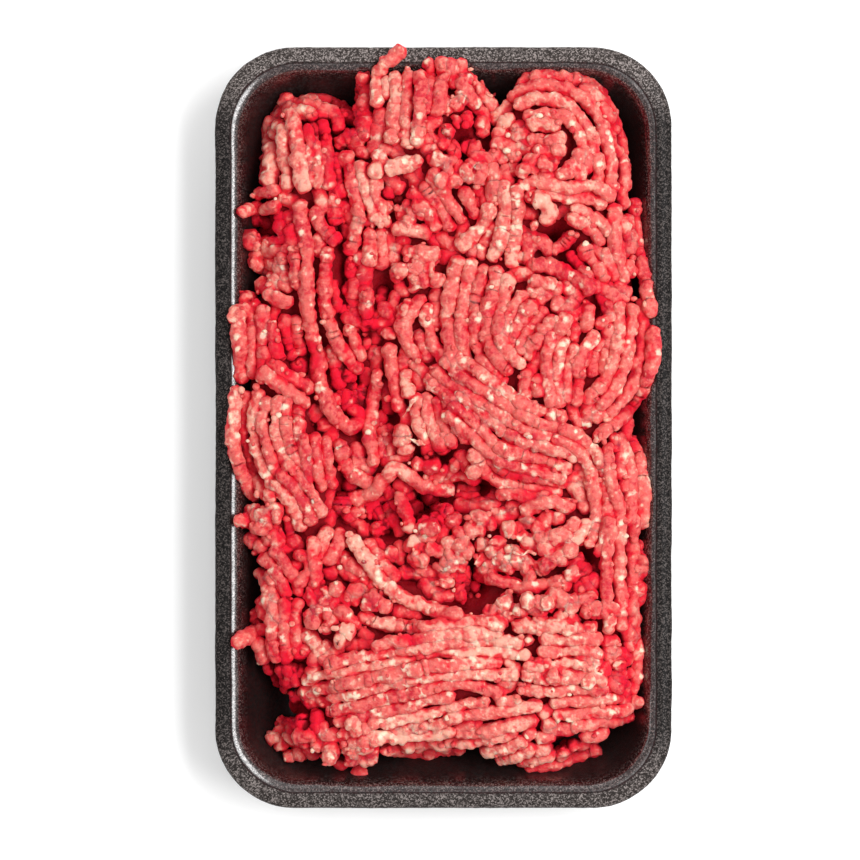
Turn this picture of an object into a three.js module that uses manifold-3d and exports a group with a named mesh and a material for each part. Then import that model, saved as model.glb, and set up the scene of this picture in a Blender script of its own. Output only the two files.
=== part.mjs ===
// Meat tray pack: a moulded foam tray with a wide rounded rim, filled with a heap of minced meat.
// Millimetres. +Z is up, +Y runs along the tray, and the origin is the middle of its flat underside.
import * as THREE from "three";
import { mergeVertices } from "three/addons/utils/BufferGeometryUtils.js";
import Module from "manifold-3d";

// --- The tray -----------------------------------------------------------------------------------

const TRAY_WIDTH = 135;
const TRAY_LENGTH = 225;
const TRAY_HEIGHT = 25;
const CORNER_RADIUS = 23.5; // of the rim's outer edge
const CORNER_TIGHTENING = 0.75; // how much a corner's radius falls for each millimetre of inset
const RIM_WIDTH = 6;
const RIM_THICKNESS = 3.6;
const RIM_EDGE_ROUND = 1.2;
const LIP_ROUND = 2.6; // where the rim turns down into the tray
const UNDER_RIM_ROUND = 1.3;
const FLOOR_THICKNESS = 4;
const FLOOR_INSET = 17.5; // from the rim's outer edge to where the wall meets the floor
const FLOOR_FILLET = 7;
const WALL_THICKNESS = 3.4; // measured level, through the sloping wall
const UNDERSIDE_FILLET = 6;

const CORNER_STEPS = 9;
const LONG_SIDE_STEPS = 6;
const SHORT_SIDE_STEPS = 4;

// --- The heap of mince --------------------------------------------------------------------------

const CLEARANCE = 0.35; // between the meat and the foam
const PLATEAU_HEIGHT = 26.5; // the heap's top between its lobes, above the table
const LOWEST_TOP = 15; // the floor of its deepest hollow
const SHOULDER_WIDTH = 9; // how far the rounded side reaches in from the outline
const UPRIGHT_SHARE = 0.45; // of the heap's height, the share that stands upright at the outline
const RIDGE_HEIGHT = 0.8; // of the bundles of strands that run along each lobe
const RIDGE_PITCH = 11;

const SHOULDER_STEPS = 4;
const CELLS_ACROSS = 36;
const CELLS_ALONG = 60;
const BULGE_FADE = 3; // how fast the outline's bulges fade inwards, as a power
const HEADROOM = 25; // of the room above the rim that the heap is cut to

// The heap's uneven outline seen from above, as four sides that meet near the tray's corners.
const LOWER_SIDE = [
  [-47, -93],
  [-36, -99],
  [-25, -102],
  [-12, -96],
  [6, -96],
  [20, -100],
  [34, -99],
  [50, -91],
];
const RIGHT_SIDE = [
  [50, -91],
  [57, -82],
  [58, -66],
  [58, -36],
  [60, -22],
  [55.5, 2],
  [62, 20],
  [60, 46],
  [55, 78],
  [49, 99],
];
const UPPER_SIDE = [
  [-48, 97],
  [-36, 98],
  [-26, 94],
  [-19, 108],
  [-4, 108],
  [6, 109],
  [16, 97],
  [24, 105],
  [38, 105],
  [49, 99],
];
const LEFT_SIDE = [
  [-47, -93],
  [-46, -81],
  [-57, -64],
  [-55, -44],
  [-60, -29],
  [-56, -18],
  [-62, 0],
  [-61, 36],
  [-53, 46],
  [-57, 64],
  [-52, 84],
  [-48, 97],
];

// Where the heap swells above its plateau: the middle and half-widths of each lobe, its rise, and
// the direction its strands run, in degrees from +X.
const LOBES = [
  { name: "top column", x: -6, y: 92, across: 17, along: 22, rise: 6.5, strands: 90 },
  { name: "top right whorl", x: 33, y: 80, across: 24, along: 24, rise: 6, strands: 160 },
  { name: "right fold", x: 30, y: 26, across: 30, along: 32, rise: 8, strands: 55 },
  { name: "upper left fall", x: -34, y: 52, across: 17, along: 34, rise: 3.5, strands: 100 },
  { name: "left fold", x: -50, y: 0, across: 14, along: 24, rise: 4, strands: 85 },
  { name: "middle fold", x: 16, y: -4, across: 20, along: 14, rise: 3.5, strands: 145 },
  { name: "right fall", x: 50, y: -24, across: 13, along: 24, rise: 3, strands: 95 },
  { name: "lower left clump", x: -46, y: -46, across: 14, along: 22, rise: 2, strands: 100 },
  { name: "bottom hank", x: 4, y: -74, across: 44, along: 18, rise: 8, strands: 12 },
  { name: "lower right clump", x: 40, y: -52, across: 20, along: 18, rise: 4.5, strands: 60 },
];

// Where it sinks between them.
const HOLLOWS = [
  { name: "beside the left fold", x: -40, y: 20, across: 8, along: 10, depth: 6 },
  { name: "in the middle", x: -23, y: 8, across: 8, along: 13, depth: 8 },
  { name: "below the middle", x: -24, y: -24, across: 11, along: 10, depth: 7 },
  { name: "under the middle fold", x: 4, y: -19, across: 11, along: 5, depth: 8 },
  { name: "above the bottom hank", x: 9, y: -46, across: 6, along: 7, depth: 7 },
  { name: "between the top lobes", x: 15, y: 92, across: 5, along: 9, depth: 7 },
  { name: "above the right fold", x: 34, y: 56, across: 8, along: 7, depth: 6 },
  { name: "beside the bottom hank", x: -42, y: -80, across: 8, along: 7, depth: 8 },
];

const wasm = await Module();
wasm.setup();

// A level ring of the tray's rounded-rectangle plan, set in from its outer edge, anticlockwise.
function trayRing(inset, z) {
  const radius = CORNER_RADIUS - CORNER_TIGHTENING * inset;
  const centreX = TRAY_WIDTH / 2 - inset - radius;
  const centreY = TRAY_LENGTH / 2 - inset - radius;
  const corners = [
    [centreX, centreY],
    [-centreX, centreY],
    [-centreX, -centreY],
    [centreX, -centreY],
  ];
  const onCorner = (corner, turn) => {
    const [x, y] = corners[corner % corners.length];
    const angle = (Math.PI / 2) * (corner + turn);
    return new THREE.Vector3(x + radius * Math.cos(angle), y + radius * Math.sin(angle), z);
  };
  const ring = [];
  for (let corner = 0; corner < corners.length; corner++) {
    for (let step = 0; step <= CORNER_STEPS; step++) {
      ring.push(onCorner(corner, step / CORNER_STEPS));
    }
    const start = ring.at(-1);
    const end = onCorner(corner + 1, 0);
    const sideSteps = corner % 2 ? LONG_SIDE_STEPS : SHORT_SIDE_STEPS;
    for (let step = 1; step < sideSteps; step++) {
      ring.push(start.clone().lerp(end, step / sideSteps));
    }
  }
  return ring;
}

// A closed solid through rings of equal length, lowest first, each end closed by a fan.
function loft(rings) {
  const count = rings[0].length;
  const points = rings.flat();
  const faces = [];
  for (let r = 0; r + 1 < rings.length; r++) {
    for (let i = 0; i < count; i++) {
      const low = r * count + i;
      const nextLow = r * count + ((i + 1) % count);
      faces.push(low, nextLow, nextLow + count, low, nextLow + count, low + count);
    }
  }
  const first = points.push(middleOf(rings[0])) - 1;
  const last = points.push(middleOf(rings.at(-1))) - 1;
  const top = (rings.length - 1) * count;
  for (let i = 0; i < count; i++) {
    const next = (i + 1) % count;
    faces.push(first, next, i, last, top + i, top + next);
  }
  return facesOver(points, faces);
}

function middleOf(ring) {
  return ring.reduce((sum, point) => sum.add(point), new THREE.Vector3()).divideScalar(ring.length);
}

function facesOver(points, faces) {
  const geometry = new THREE.BufferGeometry().setFromPoints(points);
  geometry.setIndex(faces);
  geometry.computeVertexNormals();
  return geometry;
}

// The half angle at a profile's corner, and the direction into it.
function bend(before, corner, after) {
  const inward = before.clone().sub(corner).normalize();
  const outward = after.clone().sub(corner).normalize();
  const half = Math.acos(THREE.MathUtils.clamp(inward.dot(outward), -1, 1)) / 2;
  return { inward, outward, half, towards: inward.clone().add(outward).normalize() };
}

// The points of a round between two straight runs of a profile, tangent to both.
function rounded(before, corner, after, radius, steps) {
  const { inward, outward, half, towards } = bend(before, corner, after);
  const reach = radius / Math.tan(half);
  const centre = corner.clone().addScaledVector(towards, radius / Math.sin(half));
  const from = corner.clone().addScaledVector(inward, reach).sub(centre);
  const to = corner.clone().addScaledVector(outward, reach).sub(centre);
  const sweep = Math.atan2(from.cross(to), from.dot(to));
  const points = [];
  for (let step = 0; step <= steps; step++) {
    points.push(from.clone().rotateAround(new THREE.Vector2(), (sweep * step) / steps).add(centre));
  }
  return points;
}

// A corner moved so that both runs beside it move sideways by a distance, towards its inside.
function shifted(before, corner, after, distance) {
  const { half, towards } = bend(before, corner, after);
  return corner.clone().addScaledVector(towards, distance / Math.sin(half));
}

// The tray's inside as inset and height, from the rim's top down to the floor, a gap above the foam.
function insideSection(gap) {
  const rimTop = new THREE.Vector2(0, TRAY_HEIGHT);
  const lip = new THREE.Vector2(RIM_WIDTH, TRAY_HEIGHT);
  const floorEdge = new THREE.Vector2(FLOOR_INSET, FLOOR_THICKNESS);
  const floorMiddle = new THREE.Vector2(FLOOR_INSET + FLOOR_FILLET * 2, FLOOR_THICKNESS);
  const raise = new THREE.Vector2(0, gap);
  const run = [
    rimTop.clone().add(raise),
    shifted(rimTop, lip, floorEdge, -gap),
    shifted(lip, floorEdge, floorMiddle, gap),
    floorMiddle.clone().add(raise),
  ];
  return [
    ...rounded(run[0], run[1], run[2], LIP_ROUND + gap, 4),
    ...rounded(run[1], run[2], run[3], FLOOR_FILLET - gap, 5),
    run[3],
  ];
}

// The tray's section, from the middle of its underside, out round the rim and in to the floor.
function traySection() {
  const underRim = TRAY_HEIGHT - RIM_THICKNESS;
  const lean = (FLOOR_INSET - RIM_WIDTH) / (TRAY_HEIGHT - FLOOR_THICKNESS);
  const outerWall = (z) =>
    new THREE.Vector2(RIM_WIDTH + lean * (TRAY_HEIGHT - z) - WALL_THICKNESS, z);
  const undersideEdge = outerWall(0);
  const undersideMiddle = new THREE.Vector2(undersideEdge.x + UNDERSIDE_FILLET * 2, 0);
  const wallTop = outerWall(underRim);
  const rimLow = new THREE.Vector2(0, underRim);
  const rimTop = new THREE.Vector2(0, TRAY_HEIGHT);
  const lip = new THREE.Vector2(RIM_WIDTH, TRAY_HEIGHT);
  return [
    undersideMiddle,
    ...rounded(undersideMiddle, undersideEdge, wallTop, UNDERSIDE_FILLET, 4),
    ...rounded(undersideEdge, wallTop, rimLow, UNDER_RIM_ROUND, 2),
    ...rounded(wallTop, rimLow, rimTop, RIM_EDGE_ROUND / 2, 2),
    ...rounded(rimLow, rimTop, lip, RIM_EDGE_ROUND, 3),
    ...insideSection(0),
  ];
}

function foamTray() {
  return loft(traySection().map(({ x: inset, y: z }) => trayRing(inset, z)));
}

// The room for the meat: the tray's inside less the clearance, and the air over its rim.
function roomForMeat() {
  const inside = insideSection(CLEARANCE).reverse();
  const rings = inside.map(({ x: inset, y: z }) => trayRing(inset, z));
  rings.push(trayRing(0, TRAY_HEIGHT + CLEARANCE));
  rings.push(trayRing(0, TRAY_HEIGHT + HEADROOM));
  return loft(rings);
}

// The height of the heap's top at a point in plan, before its sides round over.
function topOfHeap(x, y) {
  const nearness = ({ x: middleX, y: middleY, across, along }) =>
    Math.exp(-(((x - middleX) / across) ** 2) - ((y - middleY) / along) ** 2);
  let height = PLATEAU_HEIGHT;
  for (const lobe of LOBES) {
    const turn = THREE.MathUtils.degToRad(lobe.strands);
    const beside = (y - lobe.y) * Math.cos(turn) - (x - lobe.x) * Math.sin(turn);
    const ridge = RIDGE_HEIGHT * Math.cos((2 * Math.PI * beside) / RIDGE_PITCH);
    height += nearness(lobe) * (lobe.rise + ridge);
  }
  for (const hollow of HOLLOWS) {
    height -= nearness(hollow) * hollow.depth;
  }
  return Math.max(height, LOWEST_TOP);
}

// How far along one direction of the heap a line of cells lies, from 0 to 1, and how far the side
// has risen there. The lines lie close together over the rounded shoulders.
function lineOfCells(line, cells, size) {
  const fromEdge = Math.min(line, cells - line);
  const shoulder = SHOULDER_WIDTH / size;
  const turn = (Math.PI / 2) * Math.min(fromEdge / SHOULDER_STEPS, 1);
  const between = Math.max(fromEdge - SHOULDER_STEPS, 0) / (cells - 2 * SHOULDER_STEPS);
  const place = shoulder * (1 - Math.cos(turn)) + between * (1 - 2 * shoulder);
  return {
    place: line === fromEdge ? place : 1 - place,
    rise: UPRIGHT_SHARE + (1 - UPRIGHT_SHARE) * Math.sin(turn),
  };
}

// The heap: a grid over the four-cornered plan between its sides, whose bulges fade inwards, lifted
// to the lobed top, on a level underside.
function heapOfMince() {
  const curveOf = (side) => new THREE.SplineCurve(side.map(([x, y]) => new THREE.Vector2(x, y)));
  const straight = (side, share) => side.getPointAt(0).lerp(side.getPointAt(1), share);
  const [lower, right, upper, left] = [LOWER_SIDE, RIGHT_SIDE, UPPER_SIDE, LEFT_SIDE].map(curveOf);
  const bulge = (side, share, nearness) =>
    side.getPointAt(share).sub(straight(side, share)).multiplyScalar(nearness ** BULGE_FADE);
  const inPlan = (u, v) =>
    straight(lower, u)
      .lerp(straight(upper, u), v)
      .add(bulge(lower, u, 1 - v))
      .add(bulge(upper, u, v))
      .add(bulge(left, v, 1 - u))
      .add(bulge(right, v, u));
  const columns = CELLS_ACROSS + 1;
  const tops = [];
  const bottoms = [];
  for (let row = 0; row <= CELLS_ALONG; row++) {
    const along = lineOfCells(row, CELLS_ALONG, TRAY_LENGTH);
    for (let column = 0; column < columns; column++) {
      const across = lineOfCells(column, CELLS_ACROSS, TRAY_WIDTH);
      const { x, y } = inPlan(across.place, along.place);
      const height = (topOfHeap(x, y) - FLOOR_THICKNESS) * along.rise * across.rise;
      tops.push(new THREE.Vector3(x, y, FLOOR_THICKNESS + height));
      bottoms.push(new THREE.Vector3(x, y, FLOOR_THICKNESS));
    }
  }
  const faces = [];
  const quad = (a, b, c, d) => faces.push(a, b, c, a, c, d);
  for (let row = 0; row < CELLS_ALONG; row++) {
    for (let column = 0; column < CELLS_ACROSS; column++) {
      const a = row * columns + column;
      const under = a + tops.length;
      quad(a, a + 1, a + 1 + columns, a + columns);
      quad(under + columns, under + 1 + columns, under + 1, under);
    }
  }
  const wall = (a, b) => quad(a + tops.length, b + tops.length, b, a);
  for (let column = 0; column < CELLS_ACROSS; column++) {
    const upperLeft = CELLS_ALONG * columns + column;
    wall(column, column + 1);
    wall(upperLeft + 1, upperLeft);
  }
  for (let row = 0; row < CELLS_ALONG; row++) {
    const a = row * columns;
    wall(a + columns, a);
    wall(a + CELLS_ACROSS, a + CELLS_ACROSS + columns);
  }
  return facesOver([...tops, ...bottoms], faces);
}

function solidOf(geometry) {
  const bare = geometry.clone();
  bare.deleteAttribute("normal");
  const merged = mergeVertices(bare);
  return new wasm.Manifold(
    new wasm.Mesh({
      numProp: 3,
      vertProperties: merged.attributes.position.array,
      triVerts: new Uint32Array(merged.index.array),
    }),
  );
}

function geometryOf(solid) {
  const mesh = solid.getMesh();
  const geometry = new THREE.BufferGeometry();
  geometry.setAttribute("position", new THREE.BufferAttribute(new Float32Array(mesh.vertProperties), 3));
  geometry.setIndex(new THREE.BufferAttribute(new Uint32Array(mesh.triVerts), 1));
  geometry.computeVertexNormals();
  return geometry;
}

const foam = new THREE.MeshStandardMaterial({ color: 0x2d292a, roughness: 0.75, metalness: 0 });
const meat = new THREE.MeshStandardMaterial({ color: 0xe8665c, roughness: 0.45, metalness: 0 });

const tray = new THREE.Mesh(foamTray(), foam);
tray.name = "tray";

const mince = new THREE.Mesh(geometryOf(solidOf(heapOfMince()).intersect(solidOf(roomForMeat()))), meat);
mince.name = "mince";

const pack = new THREE.Group();
pack.add(tray, mince);

export default pack;
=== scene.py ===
"""Looks of the meat tray pack: a dark foam tray heaped with minced meat in strands.

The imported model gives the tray's size and the heap's surface. The strands are laid one by one over a
smaller core, each resting on what already lies there, so that they cross and sag as real ones do.
"""

from __future__ import annotations

import logging
import math
from dataclasses import dataclass, field
from enum import Enum

import bmesh
import bpy
import numpy as np
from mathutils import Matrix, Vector
from mathutils.bvhtree import BVHTree


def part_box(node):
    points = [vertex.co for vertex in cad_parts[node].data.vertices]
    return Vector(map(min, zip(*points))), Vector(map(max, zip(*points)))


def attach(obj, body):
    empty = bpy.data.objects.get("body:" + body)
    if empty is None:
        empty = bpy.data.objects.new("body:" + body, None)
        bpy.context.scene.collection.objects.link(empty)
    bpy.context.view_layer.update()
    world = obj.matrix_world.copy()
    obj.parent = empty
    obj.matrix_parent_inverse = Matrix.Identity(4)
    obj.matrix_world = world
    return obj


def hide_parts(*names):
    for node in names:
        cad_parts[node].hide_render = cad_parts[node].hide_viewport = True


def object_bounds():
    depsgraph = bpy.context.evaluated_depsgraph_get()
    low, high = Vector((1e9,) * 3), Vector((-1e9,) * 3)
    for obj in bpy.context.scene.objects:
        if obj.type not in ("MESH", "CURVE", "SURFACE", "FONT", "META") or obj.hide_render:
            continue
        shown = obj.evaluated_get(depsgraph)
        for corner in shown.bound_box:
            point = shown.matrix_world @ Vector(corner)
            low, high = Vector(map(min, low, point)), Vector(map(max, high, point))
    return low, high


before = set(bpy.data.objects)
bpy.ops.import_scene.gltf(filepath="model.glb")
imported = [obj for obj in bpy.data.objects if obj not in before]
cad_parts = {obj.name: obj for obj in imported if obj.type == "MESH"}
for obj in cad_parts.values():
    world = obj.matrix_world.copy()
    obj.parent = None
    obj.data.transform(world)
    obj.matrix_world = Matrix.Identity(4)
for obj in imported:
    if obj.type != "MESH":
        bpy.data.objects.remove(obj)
cad_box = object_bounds()

log = logging.getLogger("meat_tray_pack")

MM = 0.001
TINY = 1e-9
BODY = "root"
KERNEL_REACH = 2.5
LINE_POINTS = 50
CURVE_POINTS = 24

Route = tuple[tuple[float, float], ...]
Span = tuple[float, float]


# --- Mesh helpers -------------------------------------------------------------------------------


def make_piece(
    name: str,
    points: np.ndarray,
    faces: np.ndarray,
    values: dict[str, np.ndarray] | None = None,
) -> bpy.types.Object:
    """Makes a smooth-shaded mesh object from arrays.

    Args:
        name: The piece's name.
        points: Its points, in metres, one row each.
        faces: Its faces as rows of three or four point numbers; a repeated last number is a triangle.
        values: Named numbers for each point, which its finish may read.

    Returns:
        The linked object.
    """
    mesh = bpy.data.meshes.new(name)
    three = faces[:, 3] == faces[:, 2] if faces.shape[1] == 4 else np.ones(len(faces), bool)
    totals = np.where(three, 3, 4)
    keep = np.ones(faces.shape, bool)
    if faces.shape[1] == 4:
        keep[three, 3] = False
    loops = faces[keep]
    mesh.vertices.add(len(points))
    mesh.vertices.foreach_set("co", points.astype(np.float32).ravel())
    mesh.loops.add(len(loops))
    mesh.loops.foreach_set("vertex_index", loops.astype(np.int32))
    mesh.polygons.add(len(faces))
    starts = np.concatenate(([0], np.cumsum(totals)[:-1]))
    mesh.polygons.foreach_set("loop_start", starts.astype(np.int32))
    mesh.polygons.foreach_set("use_smooth", np.ones(len(faces), bool))
    mesh.update(calc_edges=True)
    for key, numbers in (values or {}).items():
        attribute = mesh.attributes.new(key, "FLOAT", "POINT")
        attribute.data.foreach_set("value", numbers.astype(np.float32))
    mesh.validate()
    piece = bpy.data.objects.new(name, mesh)
    bpy.context.scene.collection.objects.link(piece)
    return piece


def tube_faces(rings: int, sides: int) -> np.ndarray:
    """Lists the faces of a tube: the rows between its rings, then a fan over each end.

    Args:
        rings: How many rings there are.
        sides: How many points each ring has.

    Returns:
        The faces, wound so that they face outward from a tube whose rings turn anticlockwise
        about the way it runs. The two points in which the fans meet follow the rings' points.
    """
    ring = np.arange(rings - 1)[:, None]
    around = np.arange(sides)
    turned = (around + 1) % sides
    here = ring * sides
    there = here + sides
    corners = [here + around, here + turned, there + turned, there + around]
    rows = np.stack(corners, -1).reshape(-1, 4)
    last = (rings - 1) * sides
    start, end = rings * sides, rings * sides + 1
    low_fan = np.stack([np.full(sides, start), turned, around, around], -1)
    high_fan = np.stack([np.full(sides, end), last + around, last + turned, last + turned], -1)
    return np.vstack([rows, low_fan, high_fan])


class Grain:
    """Smooth seeded noise over space, from a block of random numbers that repeats."""

    BLOCK = 32

    def __init__(self, seed: int) -> None:
        """Fills the block.

        Args:
            seed: Which noise this is.
        """
        self.block = np.random.default_rng(seed).uniform(-1, 1, (self.BLOCK,) * 3)

    def __call__(self, points: np.ndarray, size: float) -> np.ndarray:
        """Reads the noise.

        Args:
            points: Places, one row of three each.
            size: How large one lump of the noise is, in the unit of the points.

        Returns:
            A number from -1 to 1 for each place.
        """
        scaled = points / size
        cell = np.floor(scaled).astype(int)
        part = scaled - cell
        part = part * part * (3 - 2 * part)
        total = np.zeros(len(points))
        for corner in range(8):
            step = np.array([corner & 1, corner >> 1 & 1, corner >> 2 & 1])
            weight = np.prod(np.where(step, part, 1 - part), axis=1)
            x, y, z = ((cell + step) % self.BLOCK).T
            total += weight * self.block[x, y, z]
        return total


@dataclass(frozen=True)
class Ripple:
    """One layer of unevenness.

    Attributes:
        height: How strong it is.
        size: How large its lumps are.
        shift: Where in the noise it is read, so that no two layers are alike.
    """

    height: float
    size: float
    shift: float = 0.0

    def over(self, grain: Grain, points: np.ndarray) -> np.ndarray:
        """Reads the layer at some points."""
        return self.height * grain(points + self.shift, self.size)


class Granules:
    """Seeded rounded cells that fill space, as grains pressed together do."""

    BLOCK = 24
    MARGIN = 0.1

    def __init__(self, seed: int) -> None:
        """Places the cells' middles.

        Args:
            seed: Which set of cells this is.
        """
        size = (self.BLOCK,) * 3
        self.middles = np.random.default_rng(seed).uniform(self.MARGIN, 1 - self.MARGIN, (*size, 3))
        self.lots = np.random.default_rng(seed + 1).uniform(0, 1, size)

    def __call__(self, points: np.ndarray, size: float) -> tuple[np.ndarray, np.ndarray]:
        """Finds the cell that each point is in.

        Args:
            points: Places, one row of three each.
            size: The usual size of a cell, in the unit of the points.

        Returns:
            For each point, its distance from its cell's middle as a share of the size, and a number
            from 0 to 1 that is the same throughout the cell.
        """
        scaled = points / size
        cell = np.floor(scaled).astype(int)
        nearest = np.full(len(points), np.inf)
        lot = np.zeros(len(points))
        for step in np.ndindex(3, 3, 3):
            there = cell + step - 1
            x, y, z = (there % self.BLOCK).T
            away = ((there + self.middles[x, y, z] - scaled) ** 2).sum(1)
            closer = away < nearest
            nearest = np.where(closer, away, nearest)
            lot = np.where(closer, self.lots[x, y, z], lot)
        return np.sqrt(nearest), lot


def smoothed(values: np.ndarray, spread: float) -> np.ndarray:
    """Smooths a run of numbers, holding its two ends.

    Args:
        values: The run.
        spread: The width of the smoothing, in steps of the run.

    Returns:
        The smoothed run.
    """
    reach = max(1, math.ceil(spread * KERNEL_REACH))
    kernel = np.exp(-0.5 * (np.arange(-reach, reach + 1) / spread) ** 2)
    kernel /= kernel.sum()
    return np.convolve(np.pad(values, reach, mode="edge"), kernel, mode="valid")


def curve_through(route: Route | np.ndarray, step: float) -> np.ndarray:
    """Draws an even curve through a route's points.

    Args:
        route: Points in plan.
        step: The distance between the points of the result.

    Returns:
        The curve's points, one row of two each.
    """
    knots = np.array(route, float)
    if len(knots) == 2:
        fine = knots[0] + np.linspace(0, 1, LINE_POINTS)[:, None] * (knots[1] - knots[0])
    else:
        before = 2 * knots[0] - knots[1]
        after = 2 * knots[-1] - knots[-2]
        knots = np.vstack([before, knots, after])
        share = np.linspace(0, 1, CURVE_POINTS, endpoint=False)[:, None]
        parts = []
        for a, b, c, d in zip(knots, knots[1:], knots[2:], knots[3:]):
            cubic = 2 * b + (c - a) * share
            cubic = cubic + (2 * a - 5 * b + 4 * c - d) * share**2
            parts.append((cubic + (3 * b - a - 3 * c + d) * share**3) / 2)
        fine = np.vstack([*parts, knots[-2:-1]])
    run = np.concatenate(([0], np.cumsum(np.linalg.norm(np.diff(fine, axis=0), axis=1))))
    places = np.linspace(0, run[-1], max(3, int(round(run[-1] / step)) + 1))
    return np.stack([np.interp(places, run, fine[:, axis]) for axis in (0, 1)], -1)


def headings(path: np.ndarray) -> np.ndarray:
    """Finds the direction of a path at each of its points, one unit long."""
    way = np.gradient(path, axis=0)
    return way / (np.linalg.norm(way, axis=1)[:, None] + TINY)


def leftward(plan: np.ndarray) -> np.ndarray:
    """Finds the direction to the left of a path in plan, one unit long."""
    way = headings(plan)
    return np.column_stack([-way[:, 1], way[:, 0]])


# --- Heights over the plan ----------------------------------------------------------------------


@dataclass
class HeightMap:
    """Heights over the pack's plan on a square grid, in millimetres.

    Attributes:
        low: The grid's lowest corner in plan.
        step: The size of its cells.
        heights: One height for each cell, rows along Y.
    """

    low: np.ndarray
    step: float
    heights: np.ndarray

    def cells(self, plan: np.ndarray) -> tuple[np.ndarray, np.ndarray]:
        """Finds the cells that places lie in.

        Args:
            plan: Places, with x and y along their last axis.

        Returns:
            The cells' rows and columns.
        """
        index = np.floor((plan - self.low) / self.step).astype(int)
        rows = np.clip(index[..., 1], 0, self.heights.shape[0] - 1)
        columns = np.clip(index[..., 0], 0, self.heights.shape[1] - 1)
        return rows, columns

    def at(self, plan: np.ndarray) -> np.ndarray:
        """Reads the heights at places in plan."""
        return self.heights[self.cells(plan)]

    def around(self, plan: np.ndarray, reach: float) -> np.ndarray:
        """Finds the highest point near each place.

        Args:
            plan: Places, one row each.
            reach: How far to look.

        Returns:
            One height for each place.
        """
        return self.at(plan[:, None, :] + self._disc(reach)[None]).max(axis=1)

    def lay(self, path: np.ndarray, radii: np.ndarray) -> None:
        """Raises the map where a round strand lies.

        Args:
            path: The strand's centre line, one row of three each.
            radii: Its radius at each of those points.
        """
        offsets = self._disc(radii.max())
        rows, columns = self.cells(path[:, None, :2] + offsets[None])
        centres = np.stack([columns, rows], -1) * self.step + self.low + self.step / 2
        away = ((centres - path[:, None, :2]) ** 2).sum(-1)
        room = radii[:, None] ** 2 - away
        inside = room > 0
        tops = (path[:, 2:3] + np.sqrt(np.maximum(room, 0)))[inside]
        np.maximum.at(self.heights, (rows[inside], columns[inside]), tops)

    def _disc(self, reach: float) -> np.ndarray:
        """Lists the offsets of the cells within a reach.

        Args:
            reach: The reach.

        Returns:
            The offsets in plan, one row each.
        """
        count = int(math.ceil(reach / self.step))
        line = np.arange(-count, count + 1) * self.step
        grid = np.stack(np.meshgrid(line, line), -1).reshape(-1, 2)
        return grid[(grid**2).sum(-1) <= (reach + self.step / 2) ** 2]


def survey(
    pieces: list[bpy.types.Object],
    low: np.ndarray,
    high: np.ndarray,
    step: float,
) -> HeightMap:
    """Measures the top of some pieces over the plan.

    Args:
        pieces: The pieces, in metres.
        low: The lowest corner of the plan, in millimetres.
        high: Its highest corner.
        step: The size of the map's cells.

    Returns:
        The map, with zero where there is nothing.
    """
    columns, rows = (np.ceil((high - low) / step)).astype(int) + 1
    heights = np.zeros((rows, columns))
    above = 1.0
    for piece in pieces:
        mesh = piece.data
        mesh.calc_loop_triangles()
        corners = [v.co for v in mesh.vertices]
        tree = BVHTree.FromPolygons(corners, [tuple(t.vertices) for t in mesh.loop_triangles])
        for row in range(rows):
            y = (low[1] + (row + 0.5) * step) * MM
            for column in range(columns):
                x = (low[0] + (column + 0.5) * step) * MM
                hit = tree.ray_cast(Vector((x, y, above)), Vector((0, 0, -1)))[0]
                if hit is not None:
                    heights[row, column] = max(heights[row, column], hit.z / MM)
    return HeightMap(low, step, heights)


# --- Shader expressions -------------------------------------------------------------------------


class Signal:
    """One output of a material's nodes, with the arithmetic that adds more nodes."""

    def __init__(self, bench: "Bench", socket: bpy.types.NodeSocket) -> None:
        """Wraps a socket.

        Args:
            bench: The material's bench, which adds its nodes.
            socket: The output to wrap.
        """
        self.bench = bench
        self.socket = socket

    def _math(self, operation: str, first: object, second: object) -> "Signal":
        """Adds a Math node between two values."""
        return self.bench.node("ShaderNodeMath", {"operation": operation}, {0: first, 1: second})

    def __add__(self, other: object) -> "Signal":
        """Adds."""
        return self._math("ADD", self, other)

    __radd__ = __add__

    def __sub__(self, other: object) -> "Signal":
        """Subtracts."""
        return self._math("SUBTRACT", self, other)

    def __rsub__(self, other: object) -> "Signal":
        """Subtracts this from a number."""
        return self._math("SUBTRACT", other, self)

    def __mul__(self, other: object) -> "Signal":
        """Multiplies."""
        return self._math("MULTIPLY", self, other)

    __rmul__ = __mul__

    def __pow__(self, other: object) -> "Signal":
        """Raises to a power."""
        return self._math("POWER", self, other)


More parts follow.
